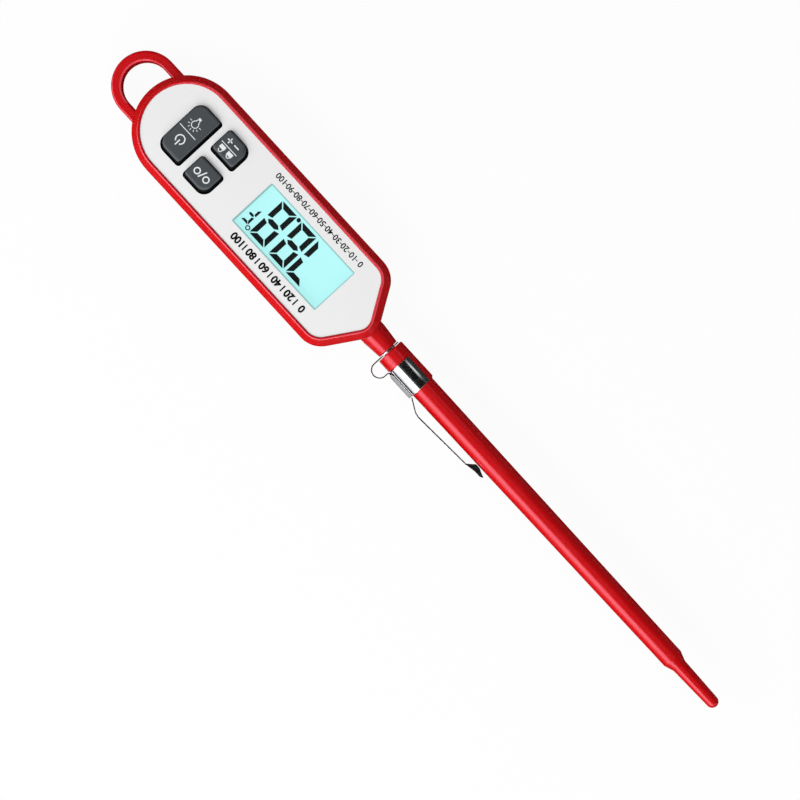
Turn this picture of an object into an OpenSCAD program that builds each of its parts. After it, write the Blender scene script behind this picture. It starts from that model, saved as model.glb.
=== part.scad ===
// Pen-shaped digital soil thermometer: a handle with a display, a thin steel probe,
// and a push-on plastic sheath that carries a spring-steel pocket clip.
// X runs from the hanging loop to the tip, Y across the handle, Z out of the display.

/* [Handle] */
// Width of the handle across its straight sides
handle_w = 30.8; // [30:0.2:34]
// Length of the straight sides
side_l = 62.6; // [61:0.2:72]
// Radius of the corners where the sides turn towards the neck
corner_r = 7.5; // [6.5:0.1:9]
// Angle of the slanted sides to the axis, in degrees
slant = 57.8; // [54:0.2:62]
// Radius of the nose between the slanted sides
nose_r = 6.5; // [6.2:0.1:7.5]
// Height of the rear case, from the table to the split line
rear_h = 8; // [7.6:0.1:9]
// Height of the front bezel, from the split line to the top of its lip
front_h = 7; // [6.8:0.1:9]
// Wall thickness of both shells
wall = 1.6; // [1.2:0.1:1.8]
// How far the bezel's wall leans inwards up to the lip
bezel_lean = 1.6; // [1.2:0.1:2]
// Radius of the round edge along the back
back_round = 3.2; // [2.4:0.1:3.6]
// Width of the lip around the faceplate
lip_w = 0.95; // [0.7:0.05:1.3]

/* [Hanging loop] */
// Outer width of the hanging loop
loop_w = 19.4; // [17:0.2:21]
// Width of the loop's bar
loop_bar = 3; // [2.4:0.1:3.6]
// Thickness of the loop
loop_t = 5; // [4.2:0.1:5.5]
// Height of the loop's underside above the table
loop_z = 1.5; // [1:0.1:2]
// Distance from the loop's outer end to the bezel's end
loop_reach = 12.3; // [11.5:0.1:15]
// Radius of the loop's long edges
loop_round = 0.7; // [0.4:0.1:1]

/* [Faceplate and display] */
// Thickness of the white faceplate
face_t = 0.5; // [0.4:0.1:0.7]
// Depth of the faceplate's top below the lip
face_sink = 0.4; // [0.2:0.1:0.6]
// Thickness of the bezel's top wall under the faceplate
top_wall = 1.6; // [1.3:0.1:1.8]
// Width of the display window
window_w = 15; // [12:0.5:15.5]
// Gap from the small keys to the display window
window_gap = 9.65; // [9:0.05:11]
// Distance from the window's end to the start of the slanted sides
window_end = 2.9; // [2.6:0.1:5]
// Thickness of the display glass
glass_t = 1.8; // [1.4:0.1:2]
// Margin of the display glass around the window
glass_rim = 2; // [1.2:0.1:2.2]
// Thickness of the circuit board
board_t = 1; // [0.8:0.1:1.2]

/* [Keys] */
// Length of a key along the handle
key_l = 8.7; // [7.5:0.1:9]
// Width of the power key across the handle
power_w = 16.7; // [15:0.1:17.5]
// Width of the gap between the two small keys
key_gap_w = 2.7; // [2.2:0.1:4]
// Distance from the end cap's centre to the middle of the power key, towards the loop if negative
power_x = 1.2; // [0.8:0.1:1.6]
// Gap along the handle between the power key and the small keys
key_gap_l = 2.3; // [2:0.1:2.8]
// Height of the keys above the faceplate
key_rise = 1.2; // [0.8:0.1:1.6]
// Travel of the keys
key_travel = 0.6; // [0.4:0.1:0.8]
// Radius of the keys' large outer corners
key_big_r = 2.8; // [2:0.1:3.2]
// Radius of the keys' other corners
key_small_r = 0.9; // [0.5:0.1:1.4]

/* [Battery] */
// Diameter of the button cell
cell_d = 11.6; // [9.5:0.1:11.6]
// Height of the button cell
cell_h = 5.4; // [3:0.1:5.4]
// Diameter of the battery door's flange
door_d = 17; // [16.6:0.1:18]
// Width of the coin slot in the battery door
coin_slot_w = 1.8; // [1.4:0.1:2.4]

/* [Neck and probe] */
// Diameter of the neck where it leaves the handle
neck_root_d = 7.55; // [7.2:0.05:8.6]
// Diameter of the neck's free end
neck_end_d = 6.45; // [6.2:0.05:7.2]
// Length of the neck from the nose to its free end
neck_l = 5.85; // [4:0.05:9]
// Diameter of the steel stem
stem_d = 3.8; // [3.4:0.1:4]
// Diameter of the stem's thin measuring tip
thin_d = 1.9; // [1.6:0.1:2.2]
// Wall thickness of the steel stem
stem_wall = 0.3; // [0.2:0.05:0.4]

/* [Sheath] */
// Diameter of the sheath's collar
collar_d = 8.35; // [8.2:0.05:9.2]
// Length of the sheath's collar
collar_l = 12.8; // [11:0.1:15]
// Gap between the neck and the sheath's mouth
mouth_gap = 0.75; // [0.75:0.05:2]
// Diameter of the sheath next to the collar
tube_d = 7.25; // [7:0.05:7.8]
// Diameter of the sheath at its shoulder
tube_end_d = 6.2; // [6:0.05:6.8]
// Length of the sheath from the collar to the shoulder
tube_l = 102.65; // [90:0.05:120]
// Diameter of the sheath's thin end
tip_d = 4.25; // [3.9:0.05:4.6]
// Diameter of the sheath at the start of its round point
point_d = 3.55; // [3.5:0.05:3.9]
// Length of the sheath's thin end, with its shoulder
tip_l = 18; // [16:0.1:22]

/* [Pocket clip] */
// Thickness of the clip's spring strip
strip_t = 0.35; // [0.3:0.05:0.4]
// Width of the clip's strip
strip_w = 4.4; // [3.6:0.1:5]
// Length of the band around the collar
band_l = 8.9; // [7:0.1:9.5]
// Angle that the band wraps around the collar, in degrees
band_wrap = 262; // [240:2:280]
// Radius of the hairpin bend at the sheath's mouth
hairpin_r = 2.25; // [1.9:0.05:2.6]
// Reach of the hairpin bend's centre from the axis
hairpin_reach = 5.6; // [5.4:0.1:6.2]
// Reach of the arm's shoulder bend from the axis
arm_reach = 6.6; // [6.2:0.1:8]
// Length of the arm from the band to its free end
arm_l = 29.5; // [24:0.5:36]
// Width of the arm's free end
foot_w = 3.2; // [2.4:0.1:3.6]

/* [Hidden] */
$fn = 64;
outline_fn = 72;

// Clearances and small sizes that follow practice
seat = 0.05;          // between pieces that seat in each other
key_clear = 0.2;      // around a key in the faceplate
move_clear = 0.3;     // between pieces that move past each other
slide_fit = 0.03;     // between the stem and the sheath's grip
hinge_gap = 0.08;     // between the clip's band and its arm
root_sink = 0.05;     // of the hairpin's strip into the band that it is pressed to
split_round = 0.15;   // chamfer of the shells along the split line

// Handle outline: centres and ends along X, counted from the loop's outer end
end_r = handle_w / 2;
end_x = loop_reach + end_r;
corner_x = end_x + side_l;
corner_y = end_r - corner_r;
apex_x = corner_x + corner_r / sin(slant) + corner_y / tan(slant);
nose_x = apex_x - nose_r / sin(slant);
nose_end_x = nose_x + nose_r;

// Heights
split_z = rear_h;
axis_z = rear_h;
lip_z = rear_h + front_h;
face_z = lip_z - face_sink;
floor_z = face_z - face_t;
under_z = floor_z - top_wall;
lip_r = lip_w / 2;
face_inset = bezel_lean + lip_w;
key_top_z = face_z + key_rise;

// Stack of the battery door and the cell
door_z = 0.2;
door_flange_t = 0.8;
door_plug_t = 0.9;
pad_t = door_z + door_flange_t + door_plug_t;
cell_z = pad_t + 0.1;
contact_t = 0.2;

// Display stack
glass_z = under_z - glass_t;
board_z = cell_z + cell_h + contact_t + 0.1;
board_top = board_z + board_t;
guide_t = glass_z - board_top;
board_inset = wall + 1;
glass_w = window_w + 2 * glass_rim;
lens_rim = 0.8;
lens_step = 0.7;

// Keys
dome_h = 0.5;
dome_d = 5;
mat_t = 1;
key_z = board_top + dome_h + key_travel + 0.15;
flange_t = 0.7;
flange_w = 0.6;
power_x0 = end_x + power_x - key_l / 2;
power_x1 = power_x0 + key_l;
small_x0 = power_x1 + key_gap_l;
small_x1 = small_x0 + key_l;
power_y = power_w / 2;
small_y0 = key_gap_w / 2;
small_y1 = power_y + 0.7;
key_slope = 0.75;     // how far the sides towards the tip and the clip lean in
key_draft = 0.15;     // how far the other sides lean in

// Display window, between the keys and the slanted sides
window_x0 = small_x1 + window_gap;
window_x1 = corner_x - window_end;
window_l = window_x1 - window_x0;

// Battery door and cell, in the back under the keys
cell_x = power_x1 + key_gap_l / 2 + 1;
door_plug_d = cell_d + 1.4;
well_wall = 1.1;
well_d = cell_d + 0.8;

// Screws and bosses
screw_d = 2;
head_d = 3.6;
head_h = 1.4;
head_sink = 0.5;
boss_d = 4.8;
screw_end_back = 8.1;
screw_end_y = 7.2;
screw_nose_ahead = 2.6;
screw_nose_y = 8;
screw_end_x = end_x - screw_end_back;
screw_nose_x = corner_x + screw_nose_ahead;
screw_spots = [for (s = [-1, 1]) [screw_end_x, s * screw_end_y],
    for (s = [-1, 1]) [screw_nose_x, s * screw_nose_y]];
post_d = 3;
post_x = (small_x1 + window_x0) / 2 - 0.3;
post_y = 9;

// Gasket in its groove
gasket_w = 0.6;
gasket_h = 0.7;
gasket_in = (wall - gasket_w) / 2;

// Neck and stem
neck_end_x = nose_end_x + neck_l;
boss_x = nose_end_x - 6;
seal_l = 2;
stem_x = boss_x - seal_l - 0.6;

// Sheath stations
mouth_x = neck_end_x + mouth_gap;
collar_x = mouth_x + collar_l;
shoulder_x = collar_x + tube_l;
total_l = shoulder_x + tip_l;
collar_r = collar_d / 2;
tube_r = tube_d / 2;
tube_end_r = tube_end_d / 2;
tip_r = tip_d / 2;
point_r = point_d / 2;
stem_r = stem_d / 2;
thin_r = thin_d / 2;
grip_l = 5;
grip_x = mouth_x + 1.5;
bore_r = stem_r + 0.4;
tip_bore_r = thin_r + 0.3;
shoulder_l = 2.8;
thin_x = shoulder_x - 1;
stem_tip_x = total_l - 2.2;

// Clip stations
band_x1 = collar_x + 0.5;
band_x0 = band_x1 - band_l;
seat_r = collar_r - strip_t;
band_in_r = seat_r + 0.02;
band_out_r = band_in_r + strip_t;
root_y = -(band_out_r + strip_t / 2 - root_sink);
eyelet_x = neck_end_x + mouth_gap / 2;
eyelet_d = 6.8;
eyelet_bore_d = stem_d + 2 * move_clear;
hairpin_x = eyelet_x + hairpin_r;
bend_r = 0.45;
root_x0 = eyelet_x + 2 * hairpin_r + bend_r;
pivot_x = band_x1 + strip_t / 2 + hinge_gap;
foot_l = 5.8;
foot_in_l = 1.9;
foot_flat_l = 1.5;
arm_x1 = pivot_x + arm_l;
foot_x = arm_x1 - foot_l;
heel_x = foot_x + foot_in_l;
arm_bend_x = pivot_x + 3.7;
arm_shoulder_x = pivot_x + 5.2;
heel_r = tube_r - (tube_r - tube_end_r) * (heel_x - collar_x) / tube_l;
heel_y = -(heel_r + move_clear + strip_t / 2);
foot_y = -(arm_reach - 0.9);
toe_y = -(arm_reach - 1.85);

function polar(r, a) = [r * cos(a), r * sin(a)];
function arc(c, r, a0, a1, n) = [for (i = [0:n]) c + polar(r, a0 + (a1 - a0) * i / n)];

// The part stands with its middle over the origin
module place() {
    translate([-total_l / 2, 0, 0]) children();
}

// Turns a revolved profile [radius, x] onto the probe's axis
module on_axis() {
    translate([0, 0, axis_z]) rotate([0, 90, 0]) children();
}

// The four circles that the handle outline wraps: centre and radius
outline_circles = [[[end_x, 0], end_r], [[corner_x, corner_y], corner_r],
    [[corner_x, -corner_y], corner_r], [[nose_x, 0], nose_r]];

// Handle outline, moved inwards by inset
module outline(inset = 0) {
    hull() for (c = outline_circles) translate(c[0]) circle(c[1] - inset, $fn = outline_fn);
}

// A convex solid over the handle outline, through levels of [distance inwards, height]
module stack(levels) {
    slice = 0.01;
    top = levels[len(levels) - 1][1];
    hull() for (l = levels, c = outline_circles)
        translate([c[0][0], c[0][1], l[1] - (l[1] == top ? slice : 0)])
            cylinder(h = slice, r = c[1] - l[0], $fn = outline_fn);
}

// A rectangle from lo to hi whose corners have the radii [lo-lo, hi-lo, hi-hi, lo-hi]
module rounded(lo, hi, r) {
    c = [[lo[0] + r[0], lo[1] + r[0]], [hi[0] - r[1], lo[1] + r[1]],
        [hi[0] - r[2], hi[1] - r[2]], [lo[0] + r[3], hi[1] - r[3]]];
    for (i = [0:3]) translate(c[i]) circle(r[i]);
    polygon([[lo[0], c[0][1]], [c[0][0], lo[1]], [c[1][0], lo[1]], [hi[0], c[1][1]],
        [hi[0], c[2][1]], [c[2][0], hi[1]], [c[3][0], hi[1]], [lo[0], c[3][1]]]);
}

// ---- The two shells ----

// Outer surface and cavity of the rear case, from the table up
back_lean = 0.3;
back_mid = [back_lean + back_round, back_round];
rear_levels = concat(arc(back_mid, back_round, 270, 180, 7),
    [[0, split_z - split_round], [split_round, split_z]]);
rear_cavity = concat(arc(back_mid, back_round - wall, 270, 180, 3), [[wall, split_z + 1]]);

// Outer surface and cavity of the bezel, from the split line up
wall_foot = split_z + split_round;
wall_top = lip_z - lip_r;
bezel_wall = [for (a = [0:12:60]) [bezel_lean * (1 - cos(a)) / (1 - cos(60)),
    wall_foot + (wall_top - wall_foot) * sin(a) / sin(60)]];
bezel_levels = concat([[split_round, split_z]], bezel_wall,
    arc([bezel_lean + lip_r, wall_top], lip_r, 160, 90, 4));
bezel_cavity = [[wall, split_z - 1], [wall + bezel_lean * 0.6, under_z - 1.2],
    [wall + bezel_lean + 0.4, under_z]];
lip_chamfer = 0.6 * lip_r;

module gasket_ring(grow) {
    translate([0, 0, split_z - gasket_h]) linear_extrude(gasket_h + grow) difference() {
        outline(gasket_in);
        outline(gasket_in + gasket_w);
    }
}

module at_screws() {
    for (p = screw_spots) translate([p[0], p[1], 0]) children();
}

module at_posts() {
    for (x = [post_x, window_x1 - 2], s = [-1, 1]) translate([x, s * post_y, 0]) children();
}

module loop_bar_section() {
    translate([loop_w / 2, 0]) rounded([-loop_bar, loop_z], [0, loop_z + loop_t], [for (i = [0:3]) loop_round]);
}

module hanging_loop() {
    mid_x = loop_w / 2;
    difference() {
        union() {
            translate([mid_x, 0, 0]) rotate([0, 0, 90]) rotate_extrude(angle = 180) loop_bar_section();
            for (s = [0, 1]) mirror([0, s, 0]) translate([mid_x, 0, 0]) rotate([90, 0, 90])
                linear_extrude(loop_reach + 6 - mid_x) loop_bar_section();
        }
        translate([end_x, 0, 0]) cylinder(h = 2 * rear_h, r = end_r - wall / 2 - back_lean);
    }
}

module neck() {
    r0 = neck_root_d / 2;
    r1 = neck_end_d / 2;
    chamfer = 0.2;
    on_axis() rotate_extrude() polygon([[0, boss_x], [r0, boss_x], [r0, nose_end_x + 0.2],
        [r1, neck_end_x - chamfer], [r1 - chamfer, neck_end_x], [0, neck_end_x]]);
    translate([boss_x, -1.2, wall / 2]) cube([nose_end_x - wall - boss_x, 2.4, axis_z - wall / 2]);
}

module rear_case() {
    color("red") place() difference() {
        union() {
            difference() {
                stack(rear_levels);
                stack(rear_cavity);
                gasket_ring(1);
            }
            hanging_loop();
            neck();
            at_screws() translate([0, 0, wall / 2]) cylinder(h = split_z - wall / 2, d = boss_d);
            at_posts() translate([0, 0, wall / 2]) cylinder(h = board_z - wall / 2, d = post_d);
            translate([cell_x, 0, 0]) {
                cylinder(h = pad_t + 0.1, r = door_d / 2 + 1.4);
                cylinder(h = board_z - 0.7, r = well_d / 2 + well_wall);
            }
        }
        on_axis() translate([0, 0, boss_x - 1]) cylinder(h = neck_end_x - boss_x + 2, r = stem_r);
        at_screws() {
            translate([0, 0, -1]) cylinder(h = head_sink + head_h + 1, d = head_d + 2 * seat);
            cylinder(h = split_z + 1, d = screw_d + 0.3);
        }
        translate([cell_x, 0, 0]) {
            translate([0, 0, -1]) cylinder(h = 1 + door_z + door_flange_t + seat, r = door_d / 2 + 0.15);
            cylinder(h = pad_t + 0.1, r = door_plug_d / 2 + 0.25);
            cylinder(h = rear_h, d = well_d);
            translate([well_d / 2 - 0.5, -2, pad_t + 1]) cube([well_wall + 1, 4, rear_h]);
        }
    }
}

module front_bezel() {
    color("red") place() difference() {
        union() {
            difference() {
                stack(bezel_levels);
                stack(bezel_cavity);
            }
            at_screws() translate([0, 0, split_z]) cylinder(h = under_z - split_z + 0.2, d = boss_d);
            for (s = [-1, 1]) {
                translate([post_x, s * post_y, board_top]) cylinder(h = under_z - board_top + 0.2, d = post_d);
                translate([window_x0 - glass_rim, s * (glass_w / 2 + 0.1 + 0.5) - 0.5, glass_z])
                    cube([window_l + 2 * glass_rim, 1, glass_t + 0.2]);
            }
        }
        at_screws() translate([0, 0, split_z - 1]) cylinder(h = under_z - split_z, d = screw_d);
        on_axis() translate([0, 0, boss_x - 1]) cylinder(h = nose_end_x - boss_x + 2, r = neck_root_d / 2 + seat);
        translate([0, 0, under_z - 1]) linear_extrude(top_wall + 2) {
            window_plan(0);
            keys_plan(move_clear);
        }
        translate([0, 0, floor_z - lens_step]) linear_extrude(lens_step + 1) window_plan(lens_rim + seat);
        translate([0, 0, floor_z]) linear_extrude(front_h) outline(face_inset);
        stack([[face_inset + seat, lip_z - lip_chamfer - seat],
            [face_inset - 2 * lip_chamfer, lip_z + lip_chamfer]]);
    }
}

module case_gasket() {
    color("dimgray") place() difference() {
        gasket_ring(0);
        on_axis() translate([0, 0, boss_x]) cylinder(h = nose_end_x, r = neck_root_d / 2 + seat);
    }
}

module case_screws() {
    color("silver") place() at_screws() {
        translate([0, 0, head_sink]) cylinder(h = head_h, d = head_d);
        translate([0, 0, head_sink + head_h - 0.1]) cylinder(h = under_z - 2.2 - head_sink - head_h, d = screw_d);
    }
}

// ---- Faceplate, window and display ----

module window_plan(grow) {
    r = 0.3 + max(grow, 0);
    rounded([window_x0 - grow, -window_w / 2 - grow], [window_x1 + grow, window_w / 2 + grow],
        [for (i = [0:3]) r]);
}

module faceplate() {
    color("white") place() translate([0, 0, floor_z]) linear_extrude(face_t) difference() {
        outline(face_inset + seat);
        window_plan(0);
        keys_plan(key_clear);
    }
}

module lcd_window() {
    color("paleturquoise", 0.4) place() {
        translate([0, 0, floor_z - 0.1]) linear_extrude(face_t + 0.1) window_plan(-seat);
        translate([0, 0, floor_z - lens_step]) linear_extrude(lens_step) window_plan(lens_rim);
    }
}

module lcd_panel() {
    color("aquamarine") place() translate([window_x0 - glass_rim, -glass_w / 2, glass_z])
        cube([window_l + 2 * glass_rim, glass_w, glass_t]);
}

zebra_w = 1.2;
guide_y1 = glass_w / 2 - zebra_w - 0.5;
guide_x0 = window_x0 - 1.5;

module light_guide() {
    color("lightcyan") place() translate([guide_x0, 0.5 - glass_w / 2, board_top])
        cube([window_l + 3, guide_y1 + glass_w / 2 - 0.5, guide_t]);
}

module zebra_connector() {
    color("pink") place() translate([window_x0, guide_y1 + 0.3, board_top])
        cube([window_l, zebra_w, guide_t]);
}

led_l = 1.2;

module backlight_leds() {
    color("white") place() for (y = [-4, 2]) translate([guide_x0 - 0.1 - led_l, y, board_top])
        cube([led_l, 2, min(1.4, guide_t)]);
}

board_x0 = power_x0 - 2.2;
board_x1 = window_x1 + glass_rim + 0.6;

module circuit_board() {
    color("darkgreen") place() translate([0, 0, board_z]) linear_extrude(board_t) intersection() {
        outline(board_inset);
        translate([board_x0, -end_r]) square([board_x1 - board_x0, handle_w]);
    }
}

// A drop of resin over the bare chip, a row of resistors and a crystal
module board_components() {
    drop_r = 4.5;
    drop_h = 1.2;
    resistor = [1.6, 0.8, 0.6];
    resistor_pitch = 2.6;
    resistor_spot = [window_x0 + 3, 6, 0];
    crystal = [3.2, 1.5, 0.9];
    crystal_spot = [window_x1 - 6, -7, 0];
    color("black") place() translate([0, 0, board_z]) mirror([0, 0, 1]) {
        translate([(window_x0 + window_x1) / 2, 0, 0]) rotate_extrude()
            polygon(concat([[0, 0]], [for (a = [0:15:90]) [drop_r * cos(a), drop_h * sin(a)]]));
        for (i = [0:3]) translate(resistor_spot + [resistor_pitch * i, 0, 0]) cube(resistor);
        translate(crystal_spot) cube(crystal);
    }
}

// ---- Keys ----

// Plans of the three keys: lowest corner, highest corner and corner radii
power_key_plan = [[power_x0, -power_y], [power_x1, power_y],
    [key_big_r, key_small_r, key_small_r, key_big_r]];
lock_key_plan = [[small_x0, small_y0], [small_x1, small_y1],
    [key_small_r, key_small_r, key_big_r, key_small_r]];
unit_key_plan = [[small_x0, -small_y1], [small_x1, -small_y0],
    [key_small_r, key_big_r, key_small_r, key_small_r]];
key_plans = [power_key_plan, lock_key_plan, unit_key_plan];

module key_plan(k, grow) {
    rounded(k[0] - [grow, grow], k[1] + [grow, grow], [for (r = k[2]) max(r + grow, 0.2)]);
}

module keys_plan(grow) {
    for (k = key_plans) key_plan(k, grow);
}

function key_mid(k) = (k[0] + k[1]) / 2;

// A moulded key: hollow body, retaining flange, plunger, and a raised top with leaning sides
module key(k) {
    slice = 0.01;
    pocket_wall = 1.2;
    color("darkslategray") place() {
        difference() {
            union() {
                translate([0, 0, key_z]) linear_extrude(face_z - key_z) key_plan(k, 0);
                translate([0, 0, under_z - key_clear - flange_t]) linear_extrude(flange_t) key_plan(k, flange_w);
            }
            translate([0, 0, key_z - 1]) linear_extrude(under_z - key_z) key_plan(k, -pocket_wall);
        }
        translate([key_mid(k)[0], key_mid(k)[1], key_z]) cylinder(h = under_z - key_z, d = 3.4);
        hull() {
            translate([0, 0, face_z - slice]) linear_extrude(slice) key_plan(k, 0, $fn = 32);
            translate([0, 0, key_top_z - slice]) linear_extrude(slice)
                rounded(k[0] + [key_draft, key_slope], k[1] - [key_slope, key_draft],
                    [for (r = k[2]) max(r - 0.3, 0.3)], $fn = 32);
        }
    }
}

module power_key() {
    key(power_key_plan);
}

module lock_key() {
    key(lock_key_plan);
}

module unit_key() {
    key(unit_key_plan);
}

module keypad_mat() {
    rim = 1.1;
    color("gray") place() translate([0, 0, board_top]) linear_extrude(mat_t) difference() {
        translate([power_x0 - rim, -small_y1 - rim])
            square([small_x1 - power_x0 + 2 * rim, 2 * (small_y1 + rim)]);
        keys_plan(key_clear);
    }
}

module snap_domes() {
    color("silver") place() for (k = key_plans) translate([key_mid(k)[0], key_mid(k)[1], board_top])
        cylinder(h = dome_h, d1 = dome_d, d2 = 2.4);
}

// ---- Battery ----

module button_cell() {
    r = cell_d / 2;
    edge = 0.4;
    can_h = cell_h - 0.6;
    color("silver") place() translate([cell_x, 0, cell_z]) rotate_extrude() polygon([[0, 0], [r - edge, 0],
        [r, edge], [r, can_h - edge], [r - edge, can_h], [r - 1.3, can_h], [r - 1.5, cell_h], [0, cell_h]]);
}

contact_w = 3;
contact_foot_l = 4;

module cell_contact_minus() {
    pad_l = 8;
    pad_back = 6;
    color("goldenrod") place() translate([cell_x - pad_back, -contact_w / 2, cell_z + cell_h])
        cube([pad_l, contact_w, contact_t]);
}

module cell_contact_plus() {
    x = cell_x + cell_d / 2 + seat;
    bottom = pad_t + 1.4;
    top = board_z - seat;
    color("goldenrod") place() {
        translate([x, -contact_w / 2, bottom]) cube([contact_t, contact_w, top - bottom]);
        translate([x, -contact_w / 2, top - contact_t]) cube([contact_foot_l, contact_w, contact_t]);
    }
}

door_seal_mid_r = door_d / 2 - 0.75;
seal_section_r = 0.25;

module battery_door() {
    groove = 2 * seal_section_r;
    color("red") place() translate([cell_x, 0, door_z]) difference() {
        union() {
            cylinder(h = door_flange_t, d = door_d);
            cylinder(h = door_flange_t + door_plug_t, d = door_plug_d);
        }
        translate([-door_d * 0.34, -coin_slot_w / 2, -1]) cube([door_d * 0.68, coin_slot_w, 1.6]);
        translate([0, 0, door_flange_t - groove]) rotate_extrude()
            translate([door_seal_mid_r - seal_section_r - 0.1, 0]) square([groove + 0.2, groove + 1]);
    }
}

module door_seal() {
    color("black") place() translate([cell_x, 0, door_z + door_flange_t - seal_section_r]) rotate_extrude()
        translate([door_seal_mid_r, 0]) circle(seal_section_r);
}

// ---- Probe ----

taper_l = 3;

module probe_stem() {
    in_r = stem_r - stem_wall;
    in_thin_r = thin_r - stem_wall;
    color("silver") place() on_axis() rotate_extrude() polygon(concat(
        [[in_r, stem_x], [stem_r, stem_x], [stem_r, thin_x - taper_l], [thin_r, thin_x]],
        [for (a = [0:15:90]) [thin_r * cos(a), stem_tip_x - thin_r + thin_r * sin(a)]],
        [for (a = [90:-15:0]) [in_thin_r * cos(a), stem_tip_x - thin_r + in_thin_r * sin(a)]],
        [[in_thin_r, thin_x], [in_r, thin_x - taper_l]]));
}

module stem_seal() {
    color("black") place() on_axis() translate([0, 0, boss_x - seal_l]) difference() {
        cylinder(h = seal_l, d = neck_end_d);
        translate([0, 0, -1]) cylinder(h = seal_l + 2, d = stem_d);
    }
}

bead_l = 2.4;
bead_r = thin_r - stem_wall - 0.1;
bead_x = stem_tip_x - thin_r - bead_l;
lead_r = 0.18;

module thermistor() {
    color("black") place() on_axis() {
        translate([0, 0, bead_x]) cylinder(h = bead_l, r = bead_r);
        translate([0, 0, bead_x + bead_l]) sphere(bead_r);
    }
}

module sensor_leads() {
    color("red") place() on_axis() for (s = [-1, 1]) translate([0, s * (bead_r - lead_r), board_x1])
        cylinder(h = bead_x - board_x1, r = lead_r);
}

// ---- Sheath and clip ----

module sheath_tube() {
    chamfer = 0.25;
    edge = collar_r - tube_r;
    wall_in = [[tip_bore_r, shoulder_x + shoulder_l - 0.3], [bore_r, shoulder_x - 0.3],
        [bore_r, grip_x + grip_l + 0.6], [stem_r + slide_fit, grip_x + grip_l],
        [stem_r + slide_fit, grip_x], [bore_r + 0.2, mouth_x]];
    tip_y = total_l - point_r;
    color("red") place() difference() {
        on_axis() rotate_extrude() polygon(concat(
            [[collar_r - chamfer, mouth_x], [collar_r, mouth_x + chamfer], [collar_r, collar_x],
            [tube_r, collar_x + edge], [tube_end_r, shoulder_x], [tip_r, shoulder_x + shoulder_l]],
            [for (a = [0:10:90]) [point_r * cos(a), tip_y + point_r * sin(a)]],
            [[0, stem_tip_x + 0.6], [tip_bore_r * 0.7, stem_tip_x + 0.4], [tip_bore_r, stem_tip_x - 0.4]],
            wall_in));
        on_axis() rotate([0, 0, band_start - 3]) rotate_extrude(angle = band_wrap + 6)
            translate([seat_r, band_x0 - move_clear]) square([collar_r, band_l + 2 * move_clear]);
    }
}

// On the probe's axis the profile's zero angle points to -Z, and a quarter turn on to +Y
band_start = 270 - band_wrap / 2;

function side_of(p, i) = let (d = p[min(i + 1, len(p) - 1)] - p[max(i - 1, 0)]) [-d[1], d[0]] / norm(d);

// Outline of a thin strip along a path
function strip(p, t) = concat([for (i = [0:len(p) - 1]) p[i] + t / 2 * side_of(p, i)],
    [for (i = [len(p) - 1:-1:0]) p[i] - t / 2 * side_of(p, i)]);

module across_axis(width) {
    translate([0, 0, axis_z - width / 2]) linear_extrude(width) children();
}

hairpin_path = concat([[eyelet_x, -eyelet_bore_d / 2 - 0.4]],
    arc([hairpin_x, -hairpin_reach], hairpin_r, 180, 360, 18),
    arc([root_x0, root_y - bend_r], bend_r, 180, 90, 5), [[band_x1, root_y]]);
arm_path = [[pivot_x, root_y], [arm_bend_x, -arm_reach + 0.3], [arm_shoulder_x, -arm_reach],
    [foot_x, foot_y], [heel_x, heel_y], [heel_x + foot_flat_l, heel_y], [arm_x1, toe_y]];

// Turned-up sides of the foot
foot_side = [[foot_x, foot_y], [heel_x, heel_y], [heel_x + foot_flat_l, heel_y], [arm_x1, toe_y]];

module clip_band() {
    color("gainsboro") place() {
        on_axis() rotate([0, 0, band_start]) rotate_extrude(angle = band_wrap)
            translate([band_in_r, band_x0]) square([strip_t, band_l]);
        across_axis(strip_w) polygon(strip(hairpin_path, strip_t));
        on_axis() translate([0, 0, eyelet_x - strip_t / 2]) difference() {
            cylinder(h = strip_t, d = eyelet_d);
            translate([0, 0, -1]) cylinder(h = strip_t + 2, d = eyelet_bore_d);
        }
    }
}

module clip_arm() {
    color("gainsboro") place() {
        intersection() {
            union() {
                across_axis(strip_w) polygon(strip(arm_path, strip_t));
                for (s = [-1, 1]) translate([0, 0, axis_z + s * (foot_w - strip_t) / 2 - strip_t / 2])
                    linear_extrude(strip_t) polygon(foot_side);
            }
            translate([0, 0, axis_z]) rotate([90, 0, 0]) linear_extrude(2 * collar_d) polygon([
                [pivot_x - 1, -strip_w / 2], [arm_shoulder_x, -strip_w / 2], [foot_x, -foot_w / 2],
                [arm_x1 + 1, -foot_w / 2], [arm_x1 + 1, foot_w / 2], [foot_x, foot_w / 2],
                [arm_shoulder_x, strip_w / 2], [pivot_x - 1, strip_w / 2]]);
        }
        translate([pivot_x, root_y, axis_z - strip_w / 2]) cylinder(h = strip_w, d = strip_t);
    }
}

rear_case();
front_bezel();
case_gasket();
case_screws();
faceplate();
lcd_window();
lcd_panel();
light_guide();
backlight_leds();
zebra_connector();
circuit_board();
board_components();
power_key();
lock_key();
unit_key();
keypad_mat();
snap_domes();
button_cell();
cell_contact_plus();
cell_contact_minus();
battery_door();
door_seal();
probe_stem();
stem_seal();
thermistor();
sensor_leads();
sheath_tube();
clip_band();
clip_arm();
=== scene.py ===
"""Looks of a pen-shaped digital soil thermometer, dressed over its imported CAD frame.

The frame gives every CAD node at its real place, in metres: X runs from the hanging loop to the
probe's tip, Y across the handle away from the pocket clip, and Z out of the display.
"""

from math import acos, atan2, cos, degrees, pi, radians, sin, tan

import bmesh
import bpy
import numpy as np
from bpy.props import FloatProperty, FloatVectorProperty, PointerProperty
from bpy.types import Operator, Panel, PropertyGroup
from mathutils import Matrix, Vector
from mathutils.bvhtree import BVHTree


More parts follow.
